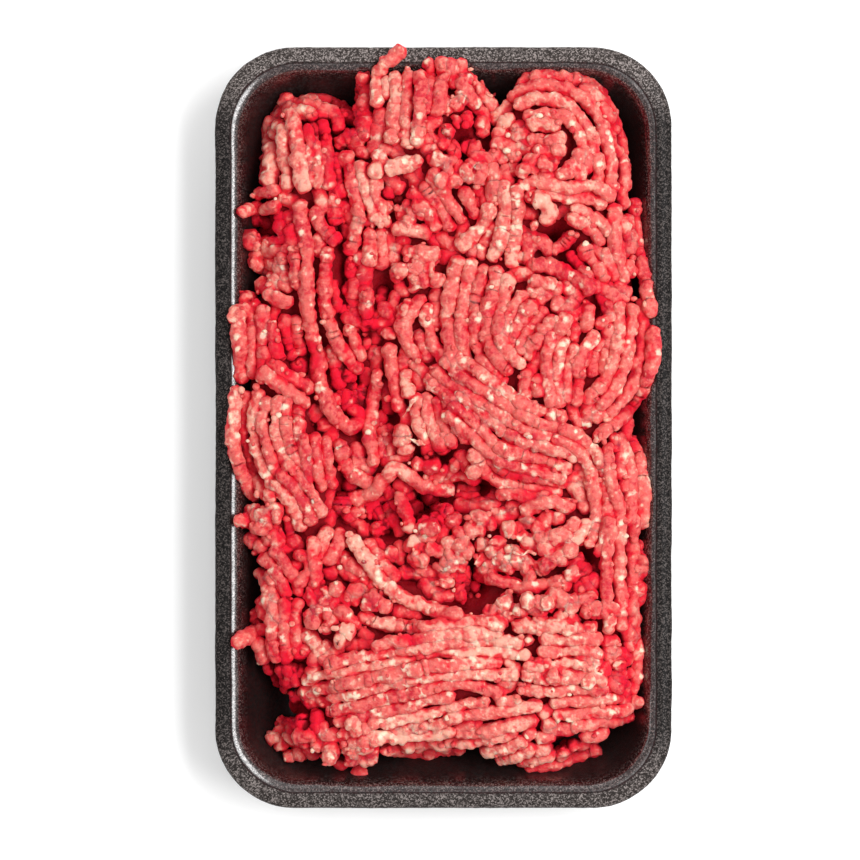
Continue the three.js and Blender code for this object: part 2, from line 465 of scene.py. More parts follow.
class Bench:
    """The nodes of one material while they are being put together."""

    def __init__(self, name: str) -> None:
        """Makes an empty material.

        Args:
            name: The material's name.
        """
        self.material = bpy.data.materials.new(name)
        self.material.use_nodes = True
        self.tree = self.material.node_tree
        self.tree.nodes.clear()

    def node(
        self,
        kind: str,
        settings: dict[str, object] | None = None,
        inputs: dict[object, object] | None = None,
        output: int | str = 0,
    ) -> Signal:
        """Adds a node.

        Args:
            kind: The node's type.
            settings: What is set on the node itself.
            inputs: Numbers, colours or signals for its sockets, by name or number.
            output: Which of its outputs is wanted.

        Returns:
            That output.
        """
        node = self.tree.nodes.new(kind)
        for key, value in (settings or {}).items():
            setattr(node, key, value)
        for key, value in (inputs or {}).items():
            socket = node.inputs[key]
            if isinstance(value, Signal):
                self.tree.links.new(value.socket, socket)
            else:
                socket.default_value = value
        return Signal(self, node.outputs[output])

    def place(self) -> Signal:
        """Gives the place on the object, in metres."""
        return self.node("ShaderNodeTexCoord", output="Object")

    def value(self, name: str) -> Signal:
        """Gives a number that the mesh holds at each point."""
        return self.node("ShaderNodeAttribute", {"attribute_name": name}, output="Fac")

    def cells(self, size: float, output: str) -> Signal:
        """Gives cells pressed together: their Color or the Distance from their middles.

        Args:
            size: The size of a cell, in metres.
            output: Which of the two is wanted.

        Returns:
            That output.
        """
        inputs = {"Vector": self.place(), "Scale": 1 / size}
        return self.node("ShaderNodeTexVoronoi", {"feature": "F1"}, inputs, output=output)

    def lot(self, size: float) -> Signal:
        """Gives a number from 0 to 1 that is the same throughout each cell."""
        return self.node("ShaderNodeSeparateColor", None, {"Color": self.cells(size, "Color")})

    def noise(self, size: float, detail: float = 2.0, roughness: float = 0.5) -> Signal:
        """Gives smooth noise from 0 to 1.

        Args:
            size: The size of its lumps, in metres.
            detail: How many finer layers it has.
            roughness: How strong those layers are.

        Returns:
            The noise.
        """
        inputs = {"Vector": self.place(), "Scale": 1 / size, "Detail": detail, "Roughness": roughness}
        return self.node("ShaderNodeTexNoise", None, inputs)

    def ramp(
        self,
        value: Signal,
        low: float,
        high: float,
        to_low: float = 0.0,
        to_high: float = 1.0,
    ) -> Signal:
        """Eases a value from one range into another.

        Args:
            value: The value.
            low: Where the rise begins.
            high: Where it ends.
            to_low: The result at and below low.
            to_high: The result at and above high.

        Returns:
            The eased value.
        """
        inputs = {"Value": value, "From Min": low, "From Max": high, "To Min": to_low, "To Max": to_high}
        return self.node("ShaderNodeMapRange", {"interpolation_type": "SMOOTHSTEP"}, inputs)

    def blend(self, first: object, second: object, share: object) -> Signal:
        """Mixes two colours.

        Args:
            first: The colour at a share of nought.
            second: The colour at a share of one.
            share: The share.

        Returns:
            The mixed colour.
        """
        settings = {"data_type": "RGBA", "blend_type": "MIX", "clamp_factor": True}
        return self.node("ShaderNodeMix", settings, {0: share, 6: first, 7: second}, output=2)

    def bump(self, height: Signal, depth: float, strength: float) -> Signal:
        """Gives a normal that follows a height.

        Args:
            height: The height, as a share of the depth.
            depth: The relief's depth, in metres.
            strength: How much of it shows.

        Returns:
            The normal.
        """
        inputs = {"Height": height, "Distance": depth, "Strength": strength}
        return self.node("ShaderNodeBump", None, inputs)

    def finish(self, inputs: dict[str, object]) -> bpy.types.Material:
        """Adds the surface shader and its output.

        Args:
            inputs: Numbers, colours or signals for the surface shader.

        Returns:
            The finished material.
        """
        surface = self.node("ShaderNodeBsdfPrincipled", {"subsurface_method": "RANDOM_WALK"}, inputs)
        end = self.tree.nodes.new("ShaderNodeOutputMaterial")
        self.tree.links.new(surface.socket, end.inputs["Surface"])
        return self.material


Colour = tuple[float, float, float, float]


def colour(red: float, green: float, blue: float) -> Colour:
    """Makes an opaque colour from its three parts."""
    return (red, green, blue, 1.0)


@dataclass(frozen=True)
class MinceFinish:
    """Raw minced meat: lean and fat through each other, deep red where strands meet.

    Attributes:
        lean: The colour of the leanest meat.
        salmon: The colour of most of it.
        pale: The colour of its lightest strands.
        fat: The colour of the fat.
        painted_crevice_shade: Painted shade, the deep red between strands.
        painted_hollow_shade: Painted shade, the near black at the bottom of the hollows.
        lean_span: The lightness over which lean turns to salmon.
        pale_span: The lightness over which salmon turns to pale.
        fat_span: The fatness over which meat turns to fat.
        fleck_span: The share of the finest flecks that are fat.
        painted_crevice_span: The shade over which the painted crevice shade comes in.
        painted_hollow_span: The shade over which the painted shade of the hollows comes in.
        patch: The size of its lighter and darker patches, in metres.
        mottle: The size of its mottling, in metres.
        grit: The size of its finest grain, in metres.
        fleck: The size of its small flecks of fat, in metres.
        relief: The depth of its grain, in metres.
        wetness: The roughness of its surface.
        glow: How much of the light goes in under the surface.
        glow_reach: How far it goes there, in metres.
        glow_colour: How far red, green and blue go, as shares of that.
    """

    lean: Colour = colour(0.50, 0.020, 0.035)
    salmon: Colour = colour(0.64, 0.120, 0.104)
    pale: Colour = colour(0.74, 0.345, 0.262)
    fat: Colour = colour(0.82, 0.630, 0.475)
    painted_crevice_shade: Colour = colour(0.66, 0.006, 0.026)
    painted_hollow_shade: Colour = colour(0.16, 0.001, 0.004)
    lean_span: Span = (-0.15, 0.5)
    pale_span: Span = (0.45, 1.15)
    fat_span: Span = (0.1, 0.95)
    fleck_span: Span = (0.72, 0.95)
    painted_crevice_span: Span = (0.035, 0.43)
    painted_hollow_span: Span = (0.58, 1.0)
    patch: float = 5 * MM
    mottle: float = 1.3 * MM
    grit: float = 0.5 * MM
    fleck: float = 1.3 * MM
    relief: float = 0.7 * MM
    wetness: float = 0.6
    glow: float = 0.45
    glow_reach: float = 1.6 * MM
    glow_colour: tuple[float, float, float] = (1.0, 0.2, 0.12)

    def material(self, name: str) -> bpy.types.Material:
        """Builds the material.

        Args:
            name: Its name.

        Returns:
            The material.
        """
        bench = Bench(name)
        patches = bench.noise(self.patch, 2)
        mottle = bench.noise(self.mottle, 3, 0.6)
        grit = bench.noise(self.grit, 2, 0.6)
        tone = bench.value("tone")
        shade = bench.value("shade")
        lightness = 0.5 + 0.42 * tone + (patches - 0.5) + (mottle - 0.5) * 1.5
        meat = bench.blend(self.lean, self.salmon, bench.ramp(lightness, *self.lean_span))
        meat = bench.blend(meat, self.pale, bench.ramp(lightness, *self.pale_span))
        chosen = bench.ramp(bench.lot(self.fleck) + 0.12 * tone, *self.fleck_span)
        fleck = chosen * bench.ramp(bench.cells(self.fleck, "Distance"), 0.65, 0.15)
        fatness = bench.value("fat") + fleck * 0.5 + (mottle - 0.5) * 1.1
        meat = bench.blend(meat, self.fat, bench.ramp(fatness, *self.fat_span, 0.0, 0.95))
        # Painted shade: deep red where the strands hide the sky, near black deep in the hollows.
        meat = bench.blend(meat, self.painted_crevice_shade, bench.ramp(shade, *self.painted_crevice_span, 0.0, 0.9))
        meat = bench.blend(meat, self.painted_hollow_shade, bench.ramp(shade, *self.painted_hollow_span, 0.0, 0.95))
        return bench.finish(
            {
                "Base Color": meat,
                "Roughness": self.wetness + (grit - 0.5) * 0.25,
                "Normal": bench.bump(mottle * 0.6 + grit * 0.4, self.relief, 0.8),
                "Subsurface Weight": self.glow,
                "Subsurface Radius": self.glow_colour,
                "Subsurface Scale": self.glow_reach,
                "Specular IOR Level": 0.06,
                "Coat Weight": bench.ramp(shade, 0.05, 0.4, 0.2, 0.0),
                "Coat Roughness": 0.35,
                "Coat IOR": 1.4,
            }
        )


@dataclass(frozen=True)
class FoamFinish:
    """Dark expanded foam: a fine speckle of cells, rubbed smooth at the lip and inside, with painted
    light on the rim towards the tray's two ends and a painted highlight on cells at the lip.

    Attributes:
        dark: The colour of most cells.
        light: The colour of the lightest ones.
        painted_lit_dark: The colour of most cells at the tray's two ends, lighter there as painted light.
        painted_lit_light: The colour of the lightest ones there, with the same painted light.
        skin: The colour of the smooth inside; its red tint is partly meat juice and partly a painted red
            reflection of the meat.
        painted_glint: A painted highlight: the lighter colour of some cells at the lip, for the light
            they catch.
        painted_light_span: The distance from the tray's middle over which the painted light on the rim
            comes in, in metres.
        painted_light_turn: The run along Y over which the near end's painted light gives way to the far
            end's, in metres.
        near_painted_light: How much painted light the near end gets, as a share of the far one.
        cell: The size of a cell, in metres.
        cloud: The size of its cloudy patches, in metres.
        relief: The depth of its cells, in metres.
    """

    dark: Colour = colour(0.004, 0.003, 0.003)
    light: Colour = colour(0.078, 0.066, 0.062)
    painted_lit_dark: Colour = colour(0.028, 0.022, 0.020)
    painted_lit_light: Colour = colour(0.29, 0.250, 0.238)
    skin: Colour = colour(0.017, 0.0028, 0.0028)
    painted_glint: Colour = colour(0.13, 0.085, 0.078)
    painted_light_span: Span = (0.085, 0.106)
    painted_light_turn: Span = (-0.05, 0.05)
    near_painted_light: float = 0.75
    cell: float = 0.33 * MM
    cloud: float = 1.1 * MM
    relief: float = 0.22 * MM

    def material(self, name: str) -> bpy.types.Material:
        """Builds the material.

        Args:
            name: Its name.

        Returns:
            The material.
        """
        bench = Bench(name)
        polish = bench.value("polish")
        pick = bench.lot(self.cell)
        wall = bench.cells(self.cell, "Distance")
        cloud = bench.noise(self.cloud, 3, 0.7)
        speck = bench.ramp(pick + (cloud - 0.5) * 0.45, 0.3, 1.05)
        along = bench.node("ShaderNodeSeparateXYZ", None, {"Vector": bench.place()}, output="Y")
        far = bench.node("ShaderNodeMath", {"operation": "ABSOLUTE"}, {0: along})
        # Painted light: the rim's cells get lighter towards the tray's two ends, more at the far end, for
        # the light that falls there.
        end = bench.ramp(far, *self.painted_light_span) * bench.ramp(along, *self.painted_light_turn, self.near_painted_light, 1.0)
        ground = bench.blend(self.dark, self.painted_lit_dark, end)
        rim = bench.blend(ground, bench.blend(self.light, self.painted_lit_light, end), speck**1.5)
        # The skin's red tint is partly a painted red reflection of the meat.
        inside = bench.blend(self.skin, self.dark, bench.ramp(cloud, 0.35, 0.7))
        # Painted highlight: some cells at the lip get a lighter colour for the light they catch.
        inside = bench.blend(inside, self.painted_glint, speck**3 * bench.ramp(polish, 0.7, 1.0))
        relief = (wall * 0.4 + pick * 0.5 + cloud * 0.4) * bench.ramp(polish, 0.0, 1.0, 1.0, 0.35)
        return bench.finish(
            {
                "Base Color": bench.blend(rim, inside, bench.ramp(polish, 0.0, 0.4, 0.0, 0.92)),
                "Roughness": bench.ramp(polish, 0.0, 1.0, 0.85, 0.5) + (pick - 0.5) * 0.3,
                "Normal": bench.bump(relief, self.relief, 0.8),
                "Specular IOR Level": 0.12,
                "Coat Weight": bench.ramp(polish, 0.5, 1.0, 0.03, 1.0) * (0.45 + pick),
                "Coat Roughness": 0.2,
                "Coat IOR": 1.8,
            }
        )


# --- The tray -----------------------------------------------------------------------------------


@dataclass
class FoamTray:
    """The moulded foam tray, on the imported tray's own box.

    Attributes:
        corner_radius: The radius of the rim's outer corners, in millimetres, as all sizes here.
        corner_tightening: How much a corner's radius falls for each millimetre of inset.
        crest_inset: From the rim's outer edge to the top of its arch.
        crest_round: The rounding of that arch.
        rim_width: The rim's width, up to the lip.
        rim_fall: How far the rim's outer edge and its lip lie under its crest.
        rim_thickness: The rim's thickness at its edge.
        edge_round: The rounding of the rim's outer edge.
        under_edge_round: The rounding under that edge.
        under_rim_round: The rounding where the rim meets the wall underneath.
        lip_round: The rounding of the lip.
        floor_inset: From the rim's outer edge to the foot of the wall.
        floor_thickness: The floor's thickness.
        floor_fillet: The rounding between wall and floor.
        wall_thickness: The wall's thickness, measured level.
        underside_fillet: The rounding between underside and wall.
        polish_start: The inset at which the smooth skin begins.
        polish_run: How far it takes to become fully smooth.
        polish_end: How smooth the skin is down in the tray, as a share.
        quarter_points: How many points a quarter of the outline has.
        longest_face: The longest face along the section.
        roughness: How far the foam's surface is off a smooth one.
        smoothing: How much of that the smooth skin loses, as a share.
        grain: The size of the bumps in its surface.
        warp: Its long waves.
        flat_foot: The height over which the bumps fade towards the flat underside.
        high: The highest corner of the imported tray's box.
    """

    corner_radius: float = 23.5
    corner_tightening: float = 0.75
    crest_inset: float = 3.3
    crest_round: float = 5.0
    rim_width: float = 6.9
    rim_fall: tuple[float, float] = (1.1, 0.9)
    rim_thickness: float = 3.6
    edge_round: float = 1.6
    under_edge_round: float = 0.5
    under_rim_round: float = 1.3
    lip_round: float = 4.2
    floor_inset: float = 17.5
    floor_thickness: float = 4.0
    floor_fillet: float = 7.0
    wall_thickness: float = 3.4
    underside_fillet: float = 6.0
    polish_start: float = 4.4
    polish_run: float = 0.8
    polish_end: float = 0.55
    quarter_points: int = 110
    longest_face: float = 1.2
    roughness: float = 0.09
    smoothing: float = 0.75
    grain: float = 1.1
    warp: Ripple = Ripple(0.12, 9.0)
    flat_foot: float = 2.0
    high: np.ndarray = field(default_factory=lambda: np.array(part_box("tray")[1]) / MM)

    ARC_STEP = 0.45
    LEAST_RADIUS = 0.5
    GRAIN_SEED = 11
    GRAIN_SHIFTS = (0.0, 37.0, 71.0)
    WARP_SHIFTS = (13.0, 53.0, 91.0)

    def section(self) -> tuple[np.ndarray, np.ndarray]:
        """Draws the tray's section.

        Returns:
            Inset and height of each point, from the middle of the underside out round the rim and in
            to the middle of the floor, and how smooth the foam is there, from 0 to 1.
        """
        top = self.high[2]
        under_rim = top - self.rim_thickness
        lip = top - self.rim_fall[1]
        lean = (self.floor_inset - self.rim_width) / (lip - self.floor_thickness)
        foot = self.rim_width + lean * lip - self.wall_thickness
        corners = [
            (foot, 0.0, self.underside_fillet),
            (foot - lean * under_rim, under_rim, self.under_rim_round),
            (0.0, under_rim, self.under_edge_round),
            (0.0, top - self.rim_fall[0], self.edge_round),
            (self.crest_inset, top, self.crest_round),
            (self.rim_width, lip, self.lip_round),
            (self.floor_inset, self.floor_thickness, self.floor_fillet),
        ]
        middle = self.high[0] - 1.0
        run = [np.array([middle, 0.0])]
        run += [np.array(corner[:2]) for corner in corners]
        run.append(np.array([middle, self.floor_thickness]))
        points = [run[0]]
        for before, here, after, (_, _, radius) in zip(run, run[1:], run[2:], corners):
            points.extend(self._rounded(before, here, after, radius))
        points.append(run[-1])
        fine = [points[0]]
        for start, end in zip(points, points[1:]):
            pieces = max(1, int(np.linalg.norm(end - start) / self.longest_face))
            fine.extend(start + (end - start) * (i + 1) / pieces for i in range(pieces))
        section = np.array(fine)
        section[:, 1] += (top - section[:, 1].max()) * (section[:, 1] > under_rim)
        crest = int(np.argmax(section[:, 1]))
        past = np.where(np.arange(len(section)) > crest, section[:, 0] - self.polish_start, 0)
        deep = np.clip((section[:, 0] - self.rim_width) / self.lip_round, 0, 1)
        return section, np.clip(past / self.polish_run, 0, 1) * (1 - (1 - self.polish_end) * deep)

    def _rounded(
        self,
        before: np.ndarray,
        corner: np.ndarray,
        after: np.ndarray,
        radius: float,
    ) -> list[np.ndarray]:
        """Rounds one corner of the section.

        Args:
            before: The point before the corner.
            corner: The corner.
            after: The point after it.
            radius: The round's radius.

        Returns:
            Points along the round.
        """
        into = (before - corner) / np.linalg.norm(before - corner)
        out = (after - corner) / np.linalg.norm(after - corner)
        half = math.acos(np.clip(into @ out, -1, 1)) / 2
        middle = (into + out) / np.linalg.norm(into + out)
        centre = corner + middle * radius / math.sin(half)
        start = corner + into * radius / math.tan(half) - centre
        end = corner + out * radius / math.tan(half) - centre
        first = math.atan2(start[1], start[0])
        turn = (math.atan2(end[1], end[0]) - first + math.pi) % (2 * math.pi) - math.pi
        steps = max(4, int(abs(turn) * radius / self.ARC_STEP))
        angles = first + turn * np.linspace(0, 1, steps + 1)
        return [centre + radius * np.array([math.cos(a), math.sin(a)]) for a in angles]

    def ring(self, inset: float, height: float) -> np.ndarray:
        """Draws the tray's rounded rectangle at an inset.

        Args:
            inset: How far in from the rim's outer edge.
            height: The ring's height.

        Returns:
            The ring's points, anticlockwise from above.
        """
        radius = max(self.corner_radius - self.corner_tightening * inset, self.LEAST_RADIUS)
        half = np.maximum(self.high[:2] - inset, radius + 0.01)
        centre = half - radius
        arc = math.pi / 2 * radius
        sides = np.array([centre[1], arc, centre[0]])
        place = np.linspace(0, 1, self.quarter_points, endpoint=False) * sides.sum()
        quarter = []
        for run in place:
            if run < sides[0]:
                quarter.append((half[0], run))
            elif run < sides[0] + arc:
                angle = (run - sides[0]) / radius
                quarter.append(centre + radius * np.array([math.cos(angle), math.sin(angle)]))
            else:
                quarter.append((centre[0] - (run - sides[0] - arc), half[1]))
        quarter = np.array(quarter)
        mirrored = np.vstack([quarter[1:], [[0.0, half[1]]]])[::-1] * (-1, 1)
        plan = np.vstack([quarter, mirrored, -quarter, -mirrored])
        return np.column_stack([plan, np.full(len(plan), height)])

    def build(self, finish: bpy.types.Material) -> bpy.types.Object:
        """Makes the tray.

        Args:
            finish: Its material.

        Returns:
            The tray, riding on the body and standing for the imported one.
        """
        section, polish = self.section()
        rings = [self.ring(inset, height) for inset, height in section]
        sides = len(rings[0])
        smooth = np.repeat(polish, sides)
        points = self._roughened(np.vstack(rings), smooth)
        points = np.vstack([points, points[:sides].mean(0), points[-sides:].mean(0)])
        values = {"polish": np.concatenate([smooth, [0.0, 1.0]])}
        piece = make_piece("foam_tray", points * MM, tube_faces(len(rings), sides), values)
        piece.data.materials.append(finish)
        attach(piece, BODY)
        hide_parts("tray")
        return piece

    def _roughened(self, points: np.ndarray, smooth: np.ndarray) -> np.ndarray:
        """Moves points off the smooth surface, as the foam's cells do, except on the underside.

        Args:
            points: The tray's points.
            smooth: How smooth the foam is at each.

        Returns:
            The moved points.
        """
        noise = Grain(self.GRAIN_SEED)
        bumps = np.column_stack([noise(points + shift, self.grain) for shift in self.GRAIN_SHIFTS])
        waves = np.column_stack([self.warp.over(noise, points + shift) for shift in self.WARP_SHIFTS])
        amount = self.roughness * (1 - self.smoothing * smooth)
        raised = np.clip(points[:, 2] / self.flat_foot, 0, 1)
        return points + (bumps * amount[:, None] + waves) * raised[:, None]


# --- The mince ----------------------------------------------------------------------------------


class Level(Enum):
    """How a skein lies: sunk among the others, level with them, or on top of them."""

    SUNK = -1.6
    LEVEL = 0.0
    PROUD = 0.9


@dataclass(frozen=True)
class Skein:
    """Strands that left the mincer side by side and still lie so.

    Attributes:
        route: The way their middle runs, in millimetres from the tray's middle.
        strands: How many there are.
        pitch: The distance between them.
        fan: How much wider than the pitch they lie at their start and at their end.
        level: How they lie.
        girth: Their thickness, as a share of the usual one.
        tone: How much paler they are, or darker when below nought.
        fat: How much of them is fat, from 0 to 1.
        ragged: How unevenly their ends are cut, in millimetres.
    """

    route: Route
    strands: int = 1
    pitch: float = 3.6
    fan: tuple[float, float] = (1.0, 1.0)
    level: Level = Level.LEVEL
    girth: float = 1.0
    tone: float = 0.0
    fat: float = 0.0
    ragged: float = 2.0


@dataclass(frozen=True)
class Scatter:
    """A patch of short chopped pieces.

    Attributes:
        middle: The patch's middle, in millimetres from the tray's middle.
        reach: Its half-widths along X and Y.
        count: How many pieces it has.
        turn: The direction most of them lie in, in degrees from +X.
        spread: How far they stray from it, in degrees.
        fat: How much of them is fat.
        level: How they lie.
    """

    middle: tuple[float, float]
    reach: tuple[float, float]
    count: int
    turn: float = 0.0
    spread: float = 60.0
    fat: float = 0.1
    level: Level = Level.LEVEL


UPPER_SKEINS = (
    Skein(((-32, 81), (-31.5, 73), (-32, 66), (-32, 58)), level=Level.SUNK),
    Skein(((-23.6, 106), (-23.6, 99), (-23, 92), (-22.5, 84)), level=Level.SUNK),
    Skein(((-37.5, 92), (-36.5, 84), (-35.5, 76), (-35, 69)), 2, 3.4),
    Skein(((-52.4, 85), (-52.6, 75), (-52, 68)), level=Level.SUNK),
    Skein(
        ((-52, 92.5), (-51.5, 86), (-50.5, 80), (-51, 74), (-53.5, 70.5)),
        level=Level.PROUD, girth=1.2, tone=1.0, fat=0.6,
    ),
    Skein(((-47.5, 92), (-47, 84), (-46.2, 77), (-46, 69)), girth=1.1, tone=0.3, fat=0.1),
    Skein(((-40.5, 91), (-39.5, 85), (-38.5, 79.5), (-38.3, 73)), fat=0.1),
    Skein(((-40, 93.5), (-34.5, 94), (-31.5, 91), (-31, 86)), level=Level.SUNK),
    Skein(((-42.5, 97), (-37, 98), (-31, 96), (-27.5, 92)), fat=0.2, tone=0.4),
    Skein(
        ((-47.3, 100), (-45.6, 95), (-43.7, 88), (-42.4, 81), (-41.8, 74), (-41.5, 68)),
        level=Level.PROUD, girth=1.2, tone=0.3, fat=0.15,
    ),
    Skein(((-56, 69), (-52, 69.8), (-47, 70)), fat=0.3),
    Skein(((-57, 56.5), (-53.5, 54.5), (-50, 55)), girth=1.15, tone=0.6, fat=0.9),
    Skein(((-57, 49.5), (-53.5, 47.5), (-50, 46)), girth=1.15, tone=0.6, fat=0.9),
    Skein(((-60.3, 63), (-56, 64.5), (-51, 65.3), (-46.5, 65.5)), level=Level.PROUD),
    Skein(((-45.5, 60), (-43.8, 53), (-43.5, 46), (-43, 40))),
    Skein(((-38.5, 67), (-37, 60.5), (-33.8, 57), (-31, 54)), fat=0.1),
    Skein(((-24.5, 63), (-26, 56.5), (-28.5, 50))),
    Skein(((-29.5, 31), (-26.8, 27), (-24.8, 22), (-24, 18))),
    Skein(((-26, 79), (-25.3, 72), (-23.5, 66), (-21.5, 59)), 2, 3.7, fat=0.35),
    Skein(((-20.3, 59), (-20, 52), (-20, 46)), 2, 3.7, fat=0.15),
    Skein(((-23, 42), (-22.7, 36), (-22.2, 30)), level=Level.SUNK),
    Skein(((-20.5, 75), (-20, 69), (-18.5, 63), (-16.3, 58.5))),
    Skein(
        (
            (-34.5, 55), (-34.7, 48), (-35, 42), (-34.8, 36), (-33, 29.5), (-30.5, 24), (-27.5, 20),
            (-24, 16.5),
        ),
        fat=0.12,
    ),
    Skein(
        (
            (-42.5, 68), (-42, 60), (-40.5, 52), (-40, 44), (-39.8, 36), (-38.5, 28), (-37, 20),
            (-36, 13), (-34, 7), (-31, 2.5), (-27.5, 0.2), (-24.8, 2), (-25.5, 5.3), (-29.5, 6),
        ),
        level=Level.PROUD, fat=0.15,
    ),
    Skein(((-2.5, 109.5), (-2, 104), (-3, 98), (-4, 91)), 2, 3.7),
    Skein(((3.3, 109.5), (4, 105), (5.5, 100)), 2, 3.4),
    Skein(((-10.6, 106.5), (-10.6, 98), (-11, 90), (-11, 81)), 3, 3.9, (1.0, 0.9), fat=0.1),
    Skein(
        ((-11.3, 111.8), (-15.5, 108.7), (-18.8, 105), (-19.8, 100.5), (-19.4, 94)),
        level=Level.PROUD, fat=0.35, ragged=0.3,
    ),
    Skein(((5.2, 104), (8.5, 99.5), (11.8, 95), (14.5, 90)), 2, 3.5),
    Skein(((9.5, 93), (11.5, 89), (11.5, 85)), fat=0.2),
    Skein(((20.5, 92.5), (17.5, 88.5), (15, 84)), level=Level.PROUD, tone=0.8, fat=0.8),
    Skein(((21, 98), (18, 94), (14.5, 89.5)), tone=0.6, fat=0.3),
    Skein(((-8.5, 71.5), (-5, 67), (-2, 62.5), (1, 57)), 2, 3.7, fat=0.15),
    Skein(((-4.5, 75), (-1, 70.3), (2.5, 65.3), (5.8, 60))),
    Skein(((5, 71), (7.8, 66), (9.5, 61))),
    Skein(((-15.5, 59), (-9, 58), (-2.5, 57.7))),
    Skein(((-13.5, 51.5), (-7, 51), (-0.5, 50.5)), girth=1.25, fat=0.25),
    Skein(((-11, 47.5), (-8.5, 43.5), (-4, 42))),
    Skein(((-21.5, 81.7), (-18, 78.8), (-15, 75)), level=Level.PROUD, fat=0.3),
    Skein(((-23.5, 76.8), (-20.5, 75.8), (-17, 76)), level=Level.PROUD, girth=1.1, tone=0.8, fat=0.8),
    Skein(((-17.3, 75.7), (-12, 77), (-6, 78.6)), level=Level.PROUD, fat=0.2, ragged=0.3),
    Skein(
        (
            (20.5, 100), (25, 103), (30.5, 104.2), (37, 103.4), (43, 100.9), (47.8, 96.4), (51, 90),
            (52.8, 83), (53.5, 76), (53.6, 68),
        ),
    ),
    Skein(
        (
            (19, 96.8), (24.5, 99.8), (31, 100.8), (37, 99.4), (42.3, 95.6), (45.8, 90), (48, 82.7),
            (49, 76), (49.4, 69),
        ),
    ),
    Skein(
        (
            (20.5, 93.8), (27, 96.8), (34, 96.4), (39.6, 92.8), (43, 87), (44.8, 80.5), (45.3, 74),
            (45.6, 68),
        ),
    ),
    Skein(
        ((22, 91), (29, 92.6), (35.2, 91.3), (39.4, 87.3), (41.4, 82), (41.6, 76.5), (39, 72)),
        fat=0.12,
    ),
    Skein(((23, 88.6), (29.5, 89), (35, 86.5))),
    Skein(((24, 85), (30.5, 84.6), (37, 85.5)), fat=0.3),
    Skein(((26, 81.3), (31.5, 80.9), (36.5, 82.3))),
    Skein(((39.3, 83), (39.6, 78.5), (37, 75.3), (32.5, 74.5)), fat=0.15),
    Skein(((24.3, 78.7), (22.3, 72.5)), fat=0.7, level=Level.PROUD),
    Skein(((13, 82.5), (18, 81), (20.5, 77)), 2, 3.5),
    Skein(((22, 69), (29, 70.2), (36, 69), (43, 69.2), (50, 66.5)), 2, 3.5, fat=0.1),
    Skein(((25.3, 67), (29, 66.4), (31.2, 63), (30.3, 58.8)), girth=1.2, fat=0.85, level=Level.PROUD),
    Skein(((35, 64), (40, 62), (45, 59), (49.5, 54)), 2, 3.6, fat=0.12),
    Skein(((50.2, 67), (50.3, 60), (50.7, 53), (52, 47), (54, 41)), fat=0.15),
    Skein(((56.3, 68), (56.8, 60), (57.7, 52), (59.3, 45), (60.4, 38), (61, 31)), fat=0.1),
    Skein(((25, 56.5), (29, 54.5), (32, 51))),
    Skein(((24, 61), (28.5, 58.7))),
    Skein(((38.5, 57), (34.5, 53.8), (30.5, 51))),
    Skein(((38.7, 54), (40.5, 49.5), (44, 45.7), (47.5, 41)), 2, 3.5),
    Skein(((24, 48), (30, 47.2), (36, 45.4), (40.5, 42.5), (44, 39)), girth=1.15, fat=0.15),
    Skein(((24, 43.7), (30, 42.3), (35.5, 40))),
    Skein(((14, 79), (14.6, 72), (14.3, 66), (11.5, 60), (7.5, 55.7), (3.5, 52)), girth=1.2, fat=0.15),
    Skein(((17.9, 74), (18.1, 66), (17.5, 60), (15.8, 54), (13.5, 48))),
    Skein(((21.3, 72), (21.8, 65), (21.4, 58), (20.4, 51), (19.5, 46)), fat=0.5),
)

